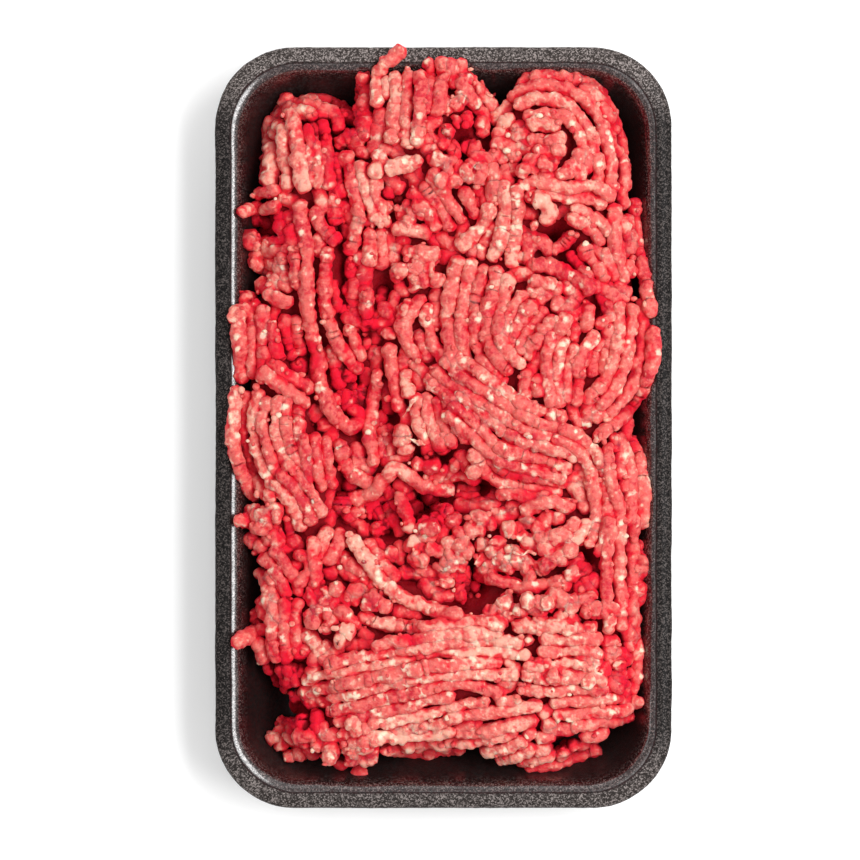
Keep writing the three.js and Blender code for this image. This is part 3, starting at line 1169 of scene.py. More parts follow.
MIDDLE_SKEINS = (
    Skein(((-47.5, 34), (-46.5, 26), (-44.5, 19)), 3, 3.5, level=Level.SUNK),
    Skein(((-57.3, 37), (-56.8, 29), (-56.5, 21), (-56.5, 13)), 3, 3.3, fat=0.15),
    Skein(((-54.5, 40.3), (-50, 38.5), (-44.5, 36)), level=Level.PROUD),
    Skein(
        ((-51.5, 11), (-52.6, 3.5), (-52.2, -4), (-50, -11), (-46, -18)),
        7, 3.3, (0.97, 1.0), girth=0.9, fat=0.15,
    ),
    Skein(((-38.3, -1), (-37.5, -8), (-37, -13.5), (-36, -19.5)), 3, 3.3, girth=0.9, fat=0.15),
    Skein(((-54, 18.5), (-48.5, 14.8), (-43.5, 11.8), (-38, 8)), 2, 3.5, level=Level.PROUD),
    Skein(((-50, -12), (-45, -17), (-41, -22.5), (-38, -29)), 3, 3.5),
    Skein(((-5.5, 39.5), (-9.5, 34.7), (-12, 29.5), (-10.3, 24), (-6.8, 19.3)), fat=0.25),
    Skein(((-4.7, 37), (-5, 31.5), (-3.5, 26.5), (-1.3, 21.7), (1.5, 17.5)), fat=0.4),
    Skein(((-16.8, 38), (-17.3, 34.3), (-14.3, 31.5))),
    Skein(((-3.5, 11), (-3, 4.5), (-0.7, -1.5), (3, -8)), 4, 3.7, (0.75, 1.05), fat=0.15),
    Skein(((-11.7, 18.5), (-10.7, 12.5), (-10, 8))),
    Skein(
        ((-17, 26.7), (-15.8, 20), (-14.7, 14), (-13.4, 8.5), (-12.4, 4)),
        fat=0.45, level=Level.PROUD,
    ),
    Skein(
        ((-18.7, 18.7), (-20, 12), (-21.5, 5.5), (-22, -1), (-21.2, -7), (-19.6, -12)),
        level=Level.PROUD,
    ),
    Skein(((-12.7, 2), (-11.9, -3), (-10.6, -8.5)), girth=1.2, fat=0.15),
    Skein(((-9.5, -10.3), (-4.5, -11.4), (1, -11.2)), fat=0.25),
    Skein(((-30.5, -2), (-30.3, -8), (-28, -12.7), (-24, -15.2), (-20.3, -17)), fat=0.12),
    Skein(((-27.2, -22), (-26.4, -28.2))),
    Skein(((-14, -17), (-12.3, -22), (-10.8, -27), (-9.8, -32)), level=Level.PROUD, tone=0.8),
    Skein(
        (
            (-28.8, -21), (-24, -20.4), (-19.8, -18.4), (-17, -15), (-14, -12.4), (-10, -14.2),
            (-6, -16.9), (-1, -17.9), (4.5, -17.2),
        ),
        level=Level.PROUD, fat=0.25,
    ),
    Skein(((28.5, 36.5), (24.3, 31), (21.5, 25.5), (20.8, 19.5)), 4, 3.7, (1.1, 0.75), fat=0.1),
    Skein(((37.5, 34.5), (33.7, 29), (31.7, 23.5), (31, 17)), fat=0.2),
    Skein(((37.5, 27), (35.5, 20), (34.8, 13), (35.5, 5.5)), 4, 3.5, (1.15, 0.7), fat=0.15),
    Skein(((46.5, 28.5), (42.7, 25.5), (40.2, 20.5), (38.9, 14)), fat=0.3),
    Skein(((42, 37.8), (42.4, 32.5), (41, 27.5))),
    Skein(((26, 17), (25.5, 12), (28, 8)), 2, 3.6),
    Skein(
        ((12.3, 49), (10.8, 43), (9.6, 37), (9, 31), (9.3, 25), (11.3, 20), (15, 15.5), (19.5, 12)),
        5, 4.0, (1.0, 0.9), fat=0.1,
    ),
    Skein(
        ((-2, 19.5), (2, 15.3), (7, 11.8), (12, 8.7), (17, 5.2), (22, 2), (28, -0.5), (35.5, -2)),
        4, 3.6, (1.0, 0.9), fat=0.12,
    ),
    Skein(((9, -4.5), (12, -9.5), (16, -13.6), (22, -15.5), (29, -16.6), (37, -18.5)), 2, 3.6),
    Skein(
        ((0.5, 8), (5.5, 4.7), (9.7, 1), (13.7, -3), (18.5, -6.5), (25, -8.5), (32, -10), (39, -13)),
        3, 3.7, fat=0.12,
    ),
    Skein(((55, 38), (55.2, 30), (54.4, 22.5), (52.4, 15.5), (49, 9.7), (44, 4.5)), 3, 3.7, fat=0.15),
    Skein(((61.2, 31), (61.8, 22), (60, 14), (56.7, 8), (52.5, 3.3), (48, -0.7), (43, -4.5)), fat=0.15),
    Skein(
        (
            (32, -1.5), (37.5, -3.3), (42, -7), (45, -12.5), (46.3, -19), (46.7, -27), (45.3, -33),
            (42.5, -38),
        ),
        2, 3.7, fat=0.25,
    ),
    Skein(((28, -38.5), (34, -35), (38.5, -31), (41.3, -26)), 2, 3.8, tone=0.4, fat=0.3),
    Skein(((48.7, -3), (48.3, -9), (49, -15), (50.5, -21), (52, -28)), fat=0.2),
    Skein(((53, -1.5), (55.2, -8), (56.7, -15), (57, -22), (56.5, -30)), 2, 3.8, fat=0.1),
    Skein(((15, -20.2), (20, -19.6), (26, -20.2), (33, -20)), fat=0.1),
    Skein(((22.3, -27), (27, -22.4), (33, -21.7), (39, -24)), girth=1.15, fat=0.1),
    Skein(((27.5, -29.5), (31.5, -26), (36.5, -28.5)), fat=0.1),
)

LOWER_SKEINS = (
    Skein(((-49.5, -71), (-49, -78)), level=Level.SUNK),
    Skein(((-44.7, -70), (-44, -78)), level=Level.SUNK),
    Skein(((-40, -83), (-39, -92)), 2, 3.6, level=Level.SUNK),
    Skein(((-53, -36), (-49, -40.5), (-46, -45.5), (-44, -51)), 2, 3.5),
    Skein(((-55.5, -42), (-51.7, -46.5), (-50, -52), (-49, -58))),
    Skein(((-46.3, -49), (-47, -56), (-47, -63), (-45.7, -70)), 3, 3.4),
    Skein(((-32.3, -29), (-34, -35), (-37, -41)), 2, 3.7),
    Skein(((-38.8, -32), (-38.2, -39), (-38, -49)), fat=0.2, level=Level.PROUD),
    Skein(((-45.3, -39), (-41.8, -37.8), (-39.8, -41.5), (-42.3, -45.7), (-45.8, -43.5))),
    Skein(((-34, -50.3), (-34, -57)), fat=0.4),
    Skein(((-31, -51.5), (-28.5, -56), (-24, -59)), fat=0.45),
    Skein(((-33, -61), (-27, -63.5)), girth=1.4),
    Skein(((-31.5, -58.5), (-28, -60), (-24.5, -60.5)), level=Level.PROUD, girth=1.2, tone=0.8, fat=0.4),
    Skein(((-62.4, -64), (-58.3, -62), (-54, -60.8)), level=Level.PROUD, ragged=0.3),
    Skein(((-54.8, -61), (-53.7, -66), (-52, -70))),
    Skein(((-50.3, -61), (-49.3, -69))),
    Skein(((-27, -48), (-21, -50.5), (-15, -54))),
    Skein(((-24, -31.5), (-20.5, -37), (-16.8, -42), (-12, -45.7)), fat=0.1),
    Skein(((52.2, -25), (51.7, -36), (51.7, -44), (52.3, -52), (52.5, -61)), 3, 4.0, fat=0.08),
    Skein(((57, -61.5), (57.3, -68.5), (56.3, -75), (55, -80))),
    Skein(((12, -43.3), (18, -45.5), (24, -47), (31, -46), (37, -45)), fat=0.1),
    Skein(((40.5, -48.3), (42.7, -52.5), (44.7, -57.5)), fat=0.5),
    Skein(((24, -101), (31, -100.4), (38, -98.5), (46.5, -95)), fat=0.3, ragged=0.3),
    Skein(((20, -99.5), (28, -97.8), (34, -94.5)), fat=0.2),
    Skein(((14, -98.7), (22, -96.7), (28, -93.3)), fat=0.5),
    Skein(((11, -96), (18, -94.2), (25, -91.5)), fat=0.2),
    Skein(((-1, -92.7), (8, -92.8), (16, -91), (23, -89.3)), fat=0.25),
    Skein(((3, -89.3), (8, -89.8), (15, -88.7), (22, -86.7), (28.5, -85.8)), fat=0.1),
    Skein(((-1, -86), (8, -84.3), (16, -83.3), (24, -82.2), (29.5, -81)), fat=0.3, girth=0.9),
    Skein(((40, -91.2), (44, -91), (49, -90)), ragged=0.5),
    Skein(((37, -88), (43, -87.3), (50, -86.7), (56, -86)), fat=0.1, ragged=0.5),
    Skein(((32, -84.7), (40, -84.3), (48, -83.7), (56, -83)), fat=0.05, ragged=0.5),
    Skein(((31, -81), (40, -80.3), (49, -79.8), (58.5, -81.3)), ragged=0.5),
    Skein(
        ((-19, -95), (-11, -96.5), (-3, -96.7), (6, -95)),
        level=Level.PROUD, tone=0.6, fat=0.9, ragged=0.5,
    ),
    Skein(((-24, -91), (-14, -91), (-4, -90.3), (5, -89.5)), tone=0.3, fat=0.6),
    Skein(
        ((-24, -87.8), (-14, -86.3), (-6, -84.7), (1, -82.5), (8, -81), (15, -80.5)),
        fat=0.6, girth=0.85, tone=0.4,
    ),
    Skein(((-33, -87), (-24, -85), (-14, -82.6), (-4, -80), (4, -78.4)), fat=0.15),
    Skein(
        (
            (-35, -84), (-26, -82), (-18, -79.7), (-8, -77.7), (0, -75.6), (8, -75.8), (14, -77),
            (18.5, -79),
        ),
        fat=0.3,
    ),
    Skein(
        ((-36, -80.4), (-28, -78.7), (-20, -76.7), (-12, -74.4), (-4, -73), (8, -72.3), (24, -72)),
        girth=0.9, fat=0.25,
    ),
    Skein(
        (
            (-44, -79), (-36, -77.2), (-28, -75.3), (-20, -73.4), (-10, -71.2), (0, -69.4), (9, -69),
            (19, -68.6),
        ),
        fat=0.3,
    ),
    Skein(
        (
            (-42, -75.7), (-36, -73.5), (-28, -71.7), (-20, -70), (-10, -68), (-2, -66.3), (8, -66),
            (27, -66.5),
        ),
        girth=0.9, fat=0.4,
    ),
    Skein(
        (
            (-36, -70), (-30, -68.5), (-22, -67.2), (-14, -65.6), (-5, -64.8), (5, -63), (15, -62.7),
            (24, -63.5),
        ),
        fat=0.5, tone=0.3,
    ),
    Skein(((-23, -64.6), (-14, -62.6), (-5, -62), (5, -60.8), (18, -60)), girth=1.05, fat=0.35),
    Skein(
        ((-25, -55), (-20, -57.3), (-13, -58.6), (-6, -59), (1, -58), (10, -57.4), (19, -58.5)),
        fat=0.4, tone=0.2,
    ),
    Skein(((-28, -84.5), (-26.3, -87.5), (-25, -91)), level=Level.PROUD, ragged=0.3),
    Skein(((20, -57.5), (27, -58.7), (34, -58), (42, -59.5)), fat=0.3),
    Skein(((28, -61.3), (35, -62.4), (42, -61.8), (48, -63.3)), fat=0.2),
    Skein(((26, -65.2), (32, -66), (40, -65.4), (47, -67)), fat=0.3),
    Skein(((22, -69.6), (30, -70), (38, -69), (46, -70.5)), fat=0.3),
    Skein(((26, -73.4), (33, -73.8), (40, -73), (49, -74.6)), fat=0.25),
    Skein(((21, -77), (30, -77.4), (38, -76.6), (49, -77.6)), fat=0.3),
    Skein(
        (
            (-28, -31), (-25, -35.7), (-22, -40), (-18.3, -44.7), (-13.5, -48.8), (-7.5, -51.8),
            (-1.5, -54), (6, -55.6),
        ),
        level=Level.PROUD, girth=1.12, tone=0.5, fat=0.8,
    ),
)

SCATTERS = (
    Scatter((3.5, 104), (5, 2.5), 7, 90, 50),
    Scatter((-54, 52), (3.5, 6), 7, 60, fat=0.4),
    Scatter((-27, 88), (4, 7), 8, 80, level=Level.SUNK),
    Scatter((-35, 74), (6, 8), 8, 80),
    Scatter((-13, 63), (7, 4), 9, 20),
    Scatter((6, 76), (10, 5), 14, -30),
    Scatter((5, 90), (5, 8), 9, 60, level=Level.SUNK),
    Scatter((-8, 46), (8, 4), 8, 50),
    Scatter((33, 76), (8, 4), 7, 10),
    Scatter((-57, 30), (3, 8), 7, 80, fat=0.3),
    Scatter((-53, -24), (6, 5), 12, 10, fat=0.2),
    Scatter((-14, 32), (4, 5), 4, 50),
    Scatter((1, -36), (11, 9), 26, 20, fat=0.15),
    Scatter((26, -34), (16, 7), 32, 25, fat=0.12),
    Scatter((24, -43), (13, 4), 14, 0),
    Scatter((31, -54), (17, 4), 26, 0, 40, fat=0.3),
    Scatter((35, -66), (14, 8), 22, 5, 35, fat=0.25),
    Scatter((-29, 12), (3, 6), 6, 80, level=Level.SUNK),
    Scatter((-24, 6), (2.5, 5), 4, 80, level=Level.SUNK),
    Scatter((-19, -26), (4, 4), 4, 20, level=Level.SUNK),
    Scatter((-5, -24), (6, 3), 4, 10, level=Level.SUNK),
    Scatter((6, -47), (5, 3), 5, 10, level=Level.SUNK),
    Scatter((-30, -24), (2, 4), 3, 80, level=Level.SUNK),
    Scatter((-33, -52), (8, 8), 14, 60, fat=0.2),
    Scatter((-52, -53), (4, 9), 9, 70),
    Scatter((-28, -93), (9, 4.5), 16, 70, fat=0.15),
    Scatter((-44.5, -91.5), (4.5, 4.5), 13, 40, fat=0.15),
    Scatter((38.5, -40), (2.5, 6), 5, 80),
    Scatter((57, -42), (1.5, 8), 7, 80),
    Scatter((-20, -50), (7, 3), 6, 10, level=Level.SUNK),
)

SKEIN_GROUPS = {
    "upper_strands": UPPER_SKEINS,
    "middle_strands": MIDDLE_SKEINS,
    "lower_strands": LOWER_SKEINS,
}
ALL_SKEINS = UPPER_SKEINS + MIDDLE_SKEINS + LOWER_SKEINS


@dataclass(frozen=True)
class Hollow:
    """A place where the strands leave a gap.

    Attributes:
        middle: Its middle, in millimetres from the tray's middle.
        reach: Its half-widths along X and Y.
        depth: How deep it is, which also sets how much painted shade it gets.
    """

    middle: tuple[float, float]
    reach: tuple[float, float]
    depth: float


HOLLOWS = (
    Hollow((-36, 88), (5, 4.5), 5.5),
    Hollow((-28, 89), (3.5, 8), 3.5),
    Hollow((-31, 73), (2.5, 7), 4),
    Hollow((-31, 59), (2.5, 6), 4),
    Hollow((-30, 47), (3, 8), 5.5),
    Hollow((-18, 41.5), (3.5, 4), 5),
    Hollow((-30, 36), (3, 5), 4.5),
    Hollow((-22, 29), (3, 5), 5),
    Hollow((-53, 59.5), (4, 2.5), 6),
    Hollow((-46, 57), (3.5, 3), 3),
    Hollow((-21.5, 89.5), (2.5, 4), 3.5),
    Hollow((-39, 1), (2.5, 4), 3.5),
    Hollow((-14, 68.5), (5, 2.5), 4),
    Hollow((5.5, 86.5), (4, 5), 6),
    Hollow((29, 77), (5, 1), 2),
    Hollow((33, 58), (3, 2), 6),
    Hollow((37.5, 50), (3, 4), 5),
    Hollow((-47, 24), (4, 9), 3.5),
    Hollow((-39.5, 20), (3, 5), 4.5),
    Hollow((-29, 13.5), (3.5, 5), 5.5),
    Hollow((-24, 7), (2.5, 6), 5),
    Hollow((-15.5, 5), (2, 6), 4.5),
    Hollow((-3, -8.5), (5.5, 2.5), 7.5),
    Hollow((-5.5, -23.5), (5.5, 3.5), 9),
    Hollow((-47.5, 63), (3, 2.4), 3),
    Hollow((-10, -62), (5, 2), 3),
    Hollow((-14, -42), (3, 3), 2.5),
    Hollow((-18.5, -25), (4, 3.5), 6.5),
    Hollow((-17, -31), (4, 3.5), 5),
    Hollow((24, -19.5), (4, 2), 3),
    Hollow((-30, -20), (2, 7), 5),
    Hollow((2, -56.5), (6, 1.3), 3),
    Hollow((-9, -46), (4, 2.5), 4),
    Hollow((-28, -47), (3, 2.5), 3.5),
    Hollow((-10, -38), (3.5, 2.5), 2),
    Hollow((12, -18), (4, 2.5), 6),
    Hollow((21, -14), (5, 1.5), 2.5),
    Hollow((37, 12), (2, 5), 2.5),
    Hollow((8.5, -47), (3, 4), 7),
    Hollow((42.8, -40.5), (2.8, 3.2), 8),
    Hollow((53.2, -71), (1.2, 8), 4),
    Hollow((35.5, -93), (3.5, 2.2), 8),
    Hollow((40, 36), (1.5, 3), 4),
    Hollow((46, 36), (1.5, 3), 4),
    Hollow((-47, -31), (3, 4), 3),
    Hollow((-45.5, -50), (2.5, 5), 4),
    Hollow((-44, -69), (4.5, 4.5), 5),
    Hollow((-49, -75), (5, 4), 3.5),
    Hollow((-44, -84), (4, 3), 6),
    Hollow((-40, -87), (4, 4), 5.5),
    Hollow((-38, -42), (9, 9), 1.5),
)


@dataclass(frozen=True)
class Patch:
    """A part of the heap whose meat is paler and fattier, or leaner and darker. Most of the darker parts
    lie on the hollows, where the darkening is painted shade.

    Attributes:
        middle: Its middle, in millimetres from the tray's middle.
        reach: Its half-widths along X and Y.
        tone: How much paler it is, or darker when below nought.
    """

    middle: tuple[float, float]
    reach: tuple[float, float]
    tone: float


def patches(tone: float, *spots: tuple[Span, Span]) -> tuple[Patch, ...]:
    """Makes patches of one tone from their middles and half-widths."""
    return tuple(Patch(middle, reach, tone) for middle, reach in spots)


# Most of the darker patches lie on the hollows, where their darkening is painted shade.
PATCHES = (
    *patches(
        1.2,
        ((-20, 76), (6, 4)), ((-28, -60), (6, 4)),
    ),
    *patches(
        1.1,
        ((-52, -22), (6, 5)), ((-4, -93), (22, 5)),
    ),
    *patches(
        1.0,
        ((-11, -35), (5, 5)),
    ),
    *patches(
        0.9,
        ((40, -13), (8, 7)), ((-12, 2), (3, 6)),
    ),
    *patches(
        0.8,
        ((-49, 92), (8, 10)), ((-54, 50), (5, 7)), ((18, 92), (5, 6)), ((18, 48), (5, 6)),
        ((-10, -10), (4, 3)),
    ),
    *patches(
        0.7,
        ((43, -31), (6, 6)), ((-36, 28), (2.5, 5)), ((-34, -90), (5, 5)), ((-11, -34), (4, 3)),
        ((-52, 14), (5, 5)), ((-41, 70), (7, 4)),
    ),
    *patches(
        0.6,
        ((-10, 10), (3, 4)), ((41, -34), (3, 4)), ((-23, 66), (4, 7)), ((29, -60), (16, 8)),
        ((20, 48), (4, 4)), ((15, -50), (4, 3)), ((-10, 11), (3, 4)), ((3, 92), (3, 3)),
        ((27, 65), (4, 4)), ((-47, 76), (6, 5)), ((-40, -34), (5, 7)), ((2, 92), (4, 4)),
        ((-28, 21), (3, 6)), ((-47, -92), (4, 4)),
    ),
    *patches(
        0.5,
        ((-9, 83), (6, 5)), ((31, 66), (9, 5)), ((5, -66), (30, 9)), ((-39, 47), (3, 5)),
        ((13, -30), (5, 4)), ((-21, 49), (3, 4)), ((8, 51), (4, 4)), ((24, -31), (5, 4)),
        ((-52, -50), (4, 5)), ((33, 64), (7, 4)), ((28, -96), (14, 6)), ((22, -67), (5, 6)),
        ((26, -82), (5, 3)), ((-5, -86), (5, 3)), ((40, -13), (4, 4)), ((-35, 28), (4, 4)),
        ((-9, 33), (4, 4)), ((-10, -10), (4, 3)), ((-10, 82), (4, 4)), ((31, -79), (13, 4)),
        ((-15, 62), (6, 4)), ((10, -36), (6, 5)), ((36, 84), (5, 4)),
    ),
    *patches(
        0.4,
        ((-18, 98), (6, 6)), ((-24, -38), (6, 9)), ((19, -69), (4, 4)), ((-4, -94), (5, 3)),
    ),
    *patches(
        0.3,
        ((-57, 5), (6, 12)), ((20, 8), (9, 9)),
    ),
    *patches(
        -0.2,
        ((-37, 52), (4, 26)),
    ),
    *patches(
        -0.4,
        ((25, -10), (5, 3)), ((-28, 80), (8, 16)), ((17, 32), (5, 4)), ((-42, 16), (5, 5)),
        ((-50, -36), (5, 4)), ((38, 47), (5, 5)), ((42, 44), (10, 8)), ((14, -46), (10, 8)),
    ),
    *patches(
        -0.5,
        ((38, -63), (4, 3)), ((33, -18), (4, 3)), ((6, 7), (3, 3)), ((3, 27), (4, 4)),
        ((44, 14), (3, 6)), ((-34, 75), (3, 5)), ((-33, -5), (3, 5)), ((-18, -35), (4, 3)),
        ((51, -77), (5, 6)), ((41, -51), (5, 4)), ((5, 7), (5, 4)), ((-21, -4), (3, 5)),
        ((-21, -92), (4, 4)), ((-45, -67), (5, 5)), ((-50, 24), (8, 12)), ((-46, -48), (7, 26)),
    ),
    *patches(
        -0.6,
        ((-10, -62), (4, 2)), ((-48, -5), (3, 3)), ((-28, 42), (6, 20)), ((-18, 37), (5, 7)),
        ((-17, -29), (6, 5)), ((-28, 10), (6, 9)), ((-8, -22), (12, 8)),
    ),
    *patches(
        -0.7,
        ((44, 37), (4, 5)),
    ),
    *patches(
        -0.8,
        ((44, -43), (4, 5)), ((-3, -9), (6, 3)), ((-21, -52), (5, 2)), ((-30, -21), (2.5, 6)),
        ((2, -55), (7, 2)), ((-40, -17), (5, 6)),
    ),
    *patches(
        -0.9,
        ((-2.5, 96.5), (4, 4)), ((-40, -87), (7, 7)),
    ),
    *patches(
        -1.0,
        ((-20, -25), (5, 4)), ((-50, 60), (7, 5)), ((-27.5, -46), (4, 4)),
    ),
    *patches(
        -1.2,
        ((-5, -24), (7, 4)),
    ),
)

# Ends of strands that stand up and face the viewer: place and how fatty.
STUBS = (
    ((-16, 85), 0.1),
    ((-17, 0), 0.1),
    ((-32, -47), 0.0),
    ((-26, -48), 0.1),
    ((-39, -57), 0.1),
    ((-40, -62), 0.8),
    ((17, -52), 0.9),
    ((24.5, -51.5), 0.5),
    ((31, -52), 0.7),
    ((42.5, -74), 0.6),
    ((37.5, -36), 0.2),
    ((9, -13.5), 0.1),
    ((-25, -102), 0.2),
    ((-43, -97), 0.2),
    ((-34, -98), 0.2),
)

# Loose white threads of fat and sinew.
THREADS = (
    ((-8.7, 8.3), (-10.3, 5.5), (-12, 3.2)),
    ((-11, -3), (-8.3, -4), (-5.5, -5)),
    ((20.5, -36.5), (23, -37.5), (25, -36.3), (27, -37.3)),
    ((15.5, 99.5), (14, 98), (12.5, 98.7)),
    ((50, -70), (52, -69), (53.5, -69.3)),
)


@dataclass
class Tube:
    """One strand as it lies.

    Attributes:
        path: Its centre line, one row of three each, in millimetres.
        radii: Its radius at each of those points.
        sides: How many sides it is made with.
        tone: How light it is at each point, from -1 to 1.
        fat: How fatty it is at each point, from 0 to 1.
        crumble: How lumpy its skin is, as a share of the usual.
    """

    path: np.ndarray
    radii: np.ndarray
    sides: int
    tone: np.ndarray
    fat: np.ndarray
    crumble: float = 1.0


@dataclass
class MinceHeap:
    """The heap of mince: a core, and the strands laid over it.

    Attributes:
        radius: A strand's usual radius, in millimetres, as all sizes here.
        step: The distance between a strand's rings.
        cell: The size of the height map's cells.
        core_drop: How far the core lies under the heap's surface.
        core_shrink: The core's size in plan, as a share of the heap's.
        sink: How far a strand presses into what it lies on.
        sag: How far a strand follows the hollows, as a share of their depth.
        climb: How far above its own level a strand may be pushed.
        gap: How low a spot may stay before another strand fills it.
        seed: The seed of everything random here.
    """

    radius: float = 2.18
    step: float = 0.45
    cell: float = 0.4
    core_drop: float = 3.6
    core_shrink: float = 0.95
    sink: float = 1.8
    sag: float = 0.7
    climb: float = 1.3
    gap: float = 1.35
    seed: int = 5

    # How much painted shade a point gets: the ways and distances looked for what hides the sky, and its
    # depth.
    SKY_WAYS = 10
    SKY_REACHES = (0.7, 1.4, 2.1, 3.0, 4.2, 6.0, 9.0)
    NEAR = 2.5
    SKY_SHARE = 0.85
    SHALLOW = 3.2
    DEEP = 5.5
    DEEP_SHARE = 0.7
    HOLLOW_SHADE = 0.105

    # The core: how it is cut finer, its grains, and how much painted shade it gets, as it lies deep.
    CORE_CELL = 1.0
    CORE_CUTS = 2
    CORE_FOOT = 2.0
    CORE_RISE = 12.0
    CORE_LUMPS = Ripple(0.9, 4.5)
    CORE_GRAIN = Ripple(1.6, 2.6)
    CORE_FAT = 0.05
    CORE_SHADE = 0.6

    # How patches change the meat's tone and fat, and how much the hollows darken it as painted shade.
    PATCH_TONE = 1.6
    PATCH_FAT = 0.4
    HOLLOW_PAINTED_SHADE = 0.28

    # How a strand rests: where it touches, how deep it may press in, how soon it follows a slope.
    CONTACT = 0.3
    PRESSED = 0.9
    SLOPE_EASE = 2.5
    STRAND_EASE = 1.5

    # The lumps that a strand left the mincer in, and the notches between them.
    LUMP_LENGTH = (1.7, 4.2)
    LUMP_START = 2.0
    LUMP_GIRTH = 0.07
    LUMP_EASE = 0.8
    TONE_EASE = 0.5
    NOTCH_DEPTH = 0.17
    NOTCH_WIDTH = 0.7

    # How a strand strays, swells and heaves along its length.
    NOISE_RANGE = 900
    WANDER_SIZE = 9.0
    SHIVER = Ripple(0.35, 2.4, 70)
    SWELL = Ripple(0.07, 5.0, 50)
    HEAVE = Ripple(0.3, 5.0, 210)
    GIRTHS = (0.94, 1.06)
    OWN_TONE = 0.5
    LEAST_FAT = 0.03
    FAT_LUMPS = 0.32
    END_LENGTH = 0.75
    END_GIRTH = 0.12

    # A strand's skin: its knobs and grains, its pointed tips, its flecks and its tone.
    KNOBS = Ripple(0.45, 2.6, 7)
    PIMPLES = Ripple(0.46, 1.25, 31)
    SKIN_GRAIN = Ripple(0.3, 1.35)
    GRAIN_LEVEL = 0.3
    HIGHEST_LUMP = 0.75
    STEEP = 0.8
    TIP_REACH = 0.35
    FLECK_SIZE = 2.3
    FLECK_SHIFT = 11
    FLECK_SHARE = (0.08, 0.6)
    FLECK_FADE = (1.3, 1.9)
    TONE_SHARE = 0.8
    GRAIN_TONE = 1.2

    # Chopped pieces.
    BEND = 0.25
    CHOP_LENGTH = (3.0, 7.5)
    CHOP_GIRTH = (0.9, 1.3)
    CHOP_FAT = (-0.15, 0.25)
    CHOP_LEVEL = (-0.8, 0.4)
    CHOP_WANDER = 0.1
    CHOP_CRUMBLE = 1.6

    # Short strands that fill the gaps.
    FILL_COUNT = 2200
    FILL_TRIES = 60
    FILL_REACH = 0.8
    FILL_TURN = 0.4
    FILL_HALF = (2.2, 5.5)
    FILL_DROP = (0.5, 1.5)
    FILL_GIRTHS = (0.9, 1.12)
    FILL_FAT = 0.07
    FILL_SIDES = 12
    FILL_POINTS = 8
    LOWEST_SPOT = 10
    LOWEST_FILL = 8

    # Strand ends that stand up, crumbs and threads.
    STUB_RINGS = 10
    STUB_RISE = 1.0
    STUB_LEAN = 0.35
    STUB_GIRTH = 1.1
    STUB_DOME = 1.5
    STUB_TIP = 0.03
    STUB_TONE = (-0.4, 0.8)
    CRUMB_COUNT = 480
    CRUMB_SIZE = (0.4, 1.1)
    CRUMB_SINK = (-0.7, -0.1)
    CRUMB_STRETCH = (0.75, 1.3)
    CRUMB_LUMPS = Ripple(0.22, 0.8)
    CRUMB_FAT = (0.06, 0.7)
    LOWEST_CRUMB = 12
    THREAD_RADIUS = 0.42
    THREAD_SWELL = Ripple(0.3, 1.2)
    THREAD_LIFT = 0.6
    THREAD_SIDES = 8

    def __post_init__(self) -> None:
        """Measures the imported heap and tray, and starts the height map."""
        self.random = np.random.default_rng(self.seed)
        self.lumps = Grain(21)
        self.granules = Granules(22)
        low, high = (np.array(corner)[:2] / MM for corner in cad_box)
        self.surface = survey([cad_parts["mince"]], low, high, self.CORE_CELL)
        self.core = self._make_core()
        self.floor = self._ground(low, high)
        self.ground = HeightMap(self.floor.low, self.cell, self.floor.heights.copy())

    def _make_core(self) -> bpy.types.Object:
        """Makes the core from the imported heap, smaller and as grainy as the strands.

        Returns:
            The core, without its finish.
        """
        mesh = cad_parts["mince"].data.copy()
        shape = bmesh.new()
        shape.from_mesh(mesh)
        bmesh.ops.triangulate(shape, faces=shape.faces)
        bmesh.ops.subdivide_edges(shape, edges=shape.edges, cuts=self.CORE_CUTS, use_grid_fill=True)
        bmesh.ops.triangulate(shape, faces=shape.faces)
        shape.to_mesh(mesh)
        shape.free()
        points = np.zeros(len(mesh.vertices) * 3)
        mesh.vertices.foreach_get("co", points)
        points = points.reshape(-1, 3) / MM
        faces = np.zeros(len(mesh.polygons) * 3, int)
        mesh.polygons.foreach_get("vertices", faces)
        bpy.data.meshes.remove(mesh)
        rise = np.clip((points[:, 2] - points[:, 2].min() - self.CORE_FOOT) / self.CORE_RISE, 0, 1)
        relief, lot = self.grained(points, self.CORE_GRAIN)
        relief = self.CORE_LUMPS.over(self.lumps, points) + relief
        points[:, 2] -= (self.core_drop + self.hollow_depth(points[:, :2]) - relief) * rise
        points[:, :2] *= self.core_shrink
        values = {"tone": lot * 2 - 1, "fat": (lot < self.CORE_FAT).astype(float)}
        return make_piece("mince_core", points * MM, faces.reshape(-1, 3), values)

    def grained(self, points: np.ndarray, grain: Ripple) -> tuple[np.ndarray, np.ndarray]:
        """Finds how far the grains of the meat bulge out.

        Args:
            points: The points.
            grain: The height and size of the grains.

        Returns:
            The bulge at each point, and its grain's number from 0 to 1.
        """
        away, lot = self.granules(points, grain.size)
        return grain.height * (self.GRAIN_LEVEL - away**2), lot

    def blush(self, plan: np.ndarray) -> tuple[np.ndarray, float]:
        """Finds how the meat's colour changes over the heap, with painted shade that darkens the hollows.

        Args:
            plan: Places in plan.

        Returns:
            How much lighter or darker each place is, and how much fattier they are together.
        """
        pale = np.zeros(len(plan))
        for patch in PATCHES:
            away = (plan - patch.middle) / patch.reach
            pale += patch.tone * np.exp(-(away**2).sum(1))
        # The hollows darken the tone: painted shade.
        tone = pale * self.PATCH_TONE - self.HOLLOW_PAINTED_SHADE * self.hollow_depth(plan)
        return tone, self.PATCH_FAT * float(np.clip(pale, 0, 1).mean())

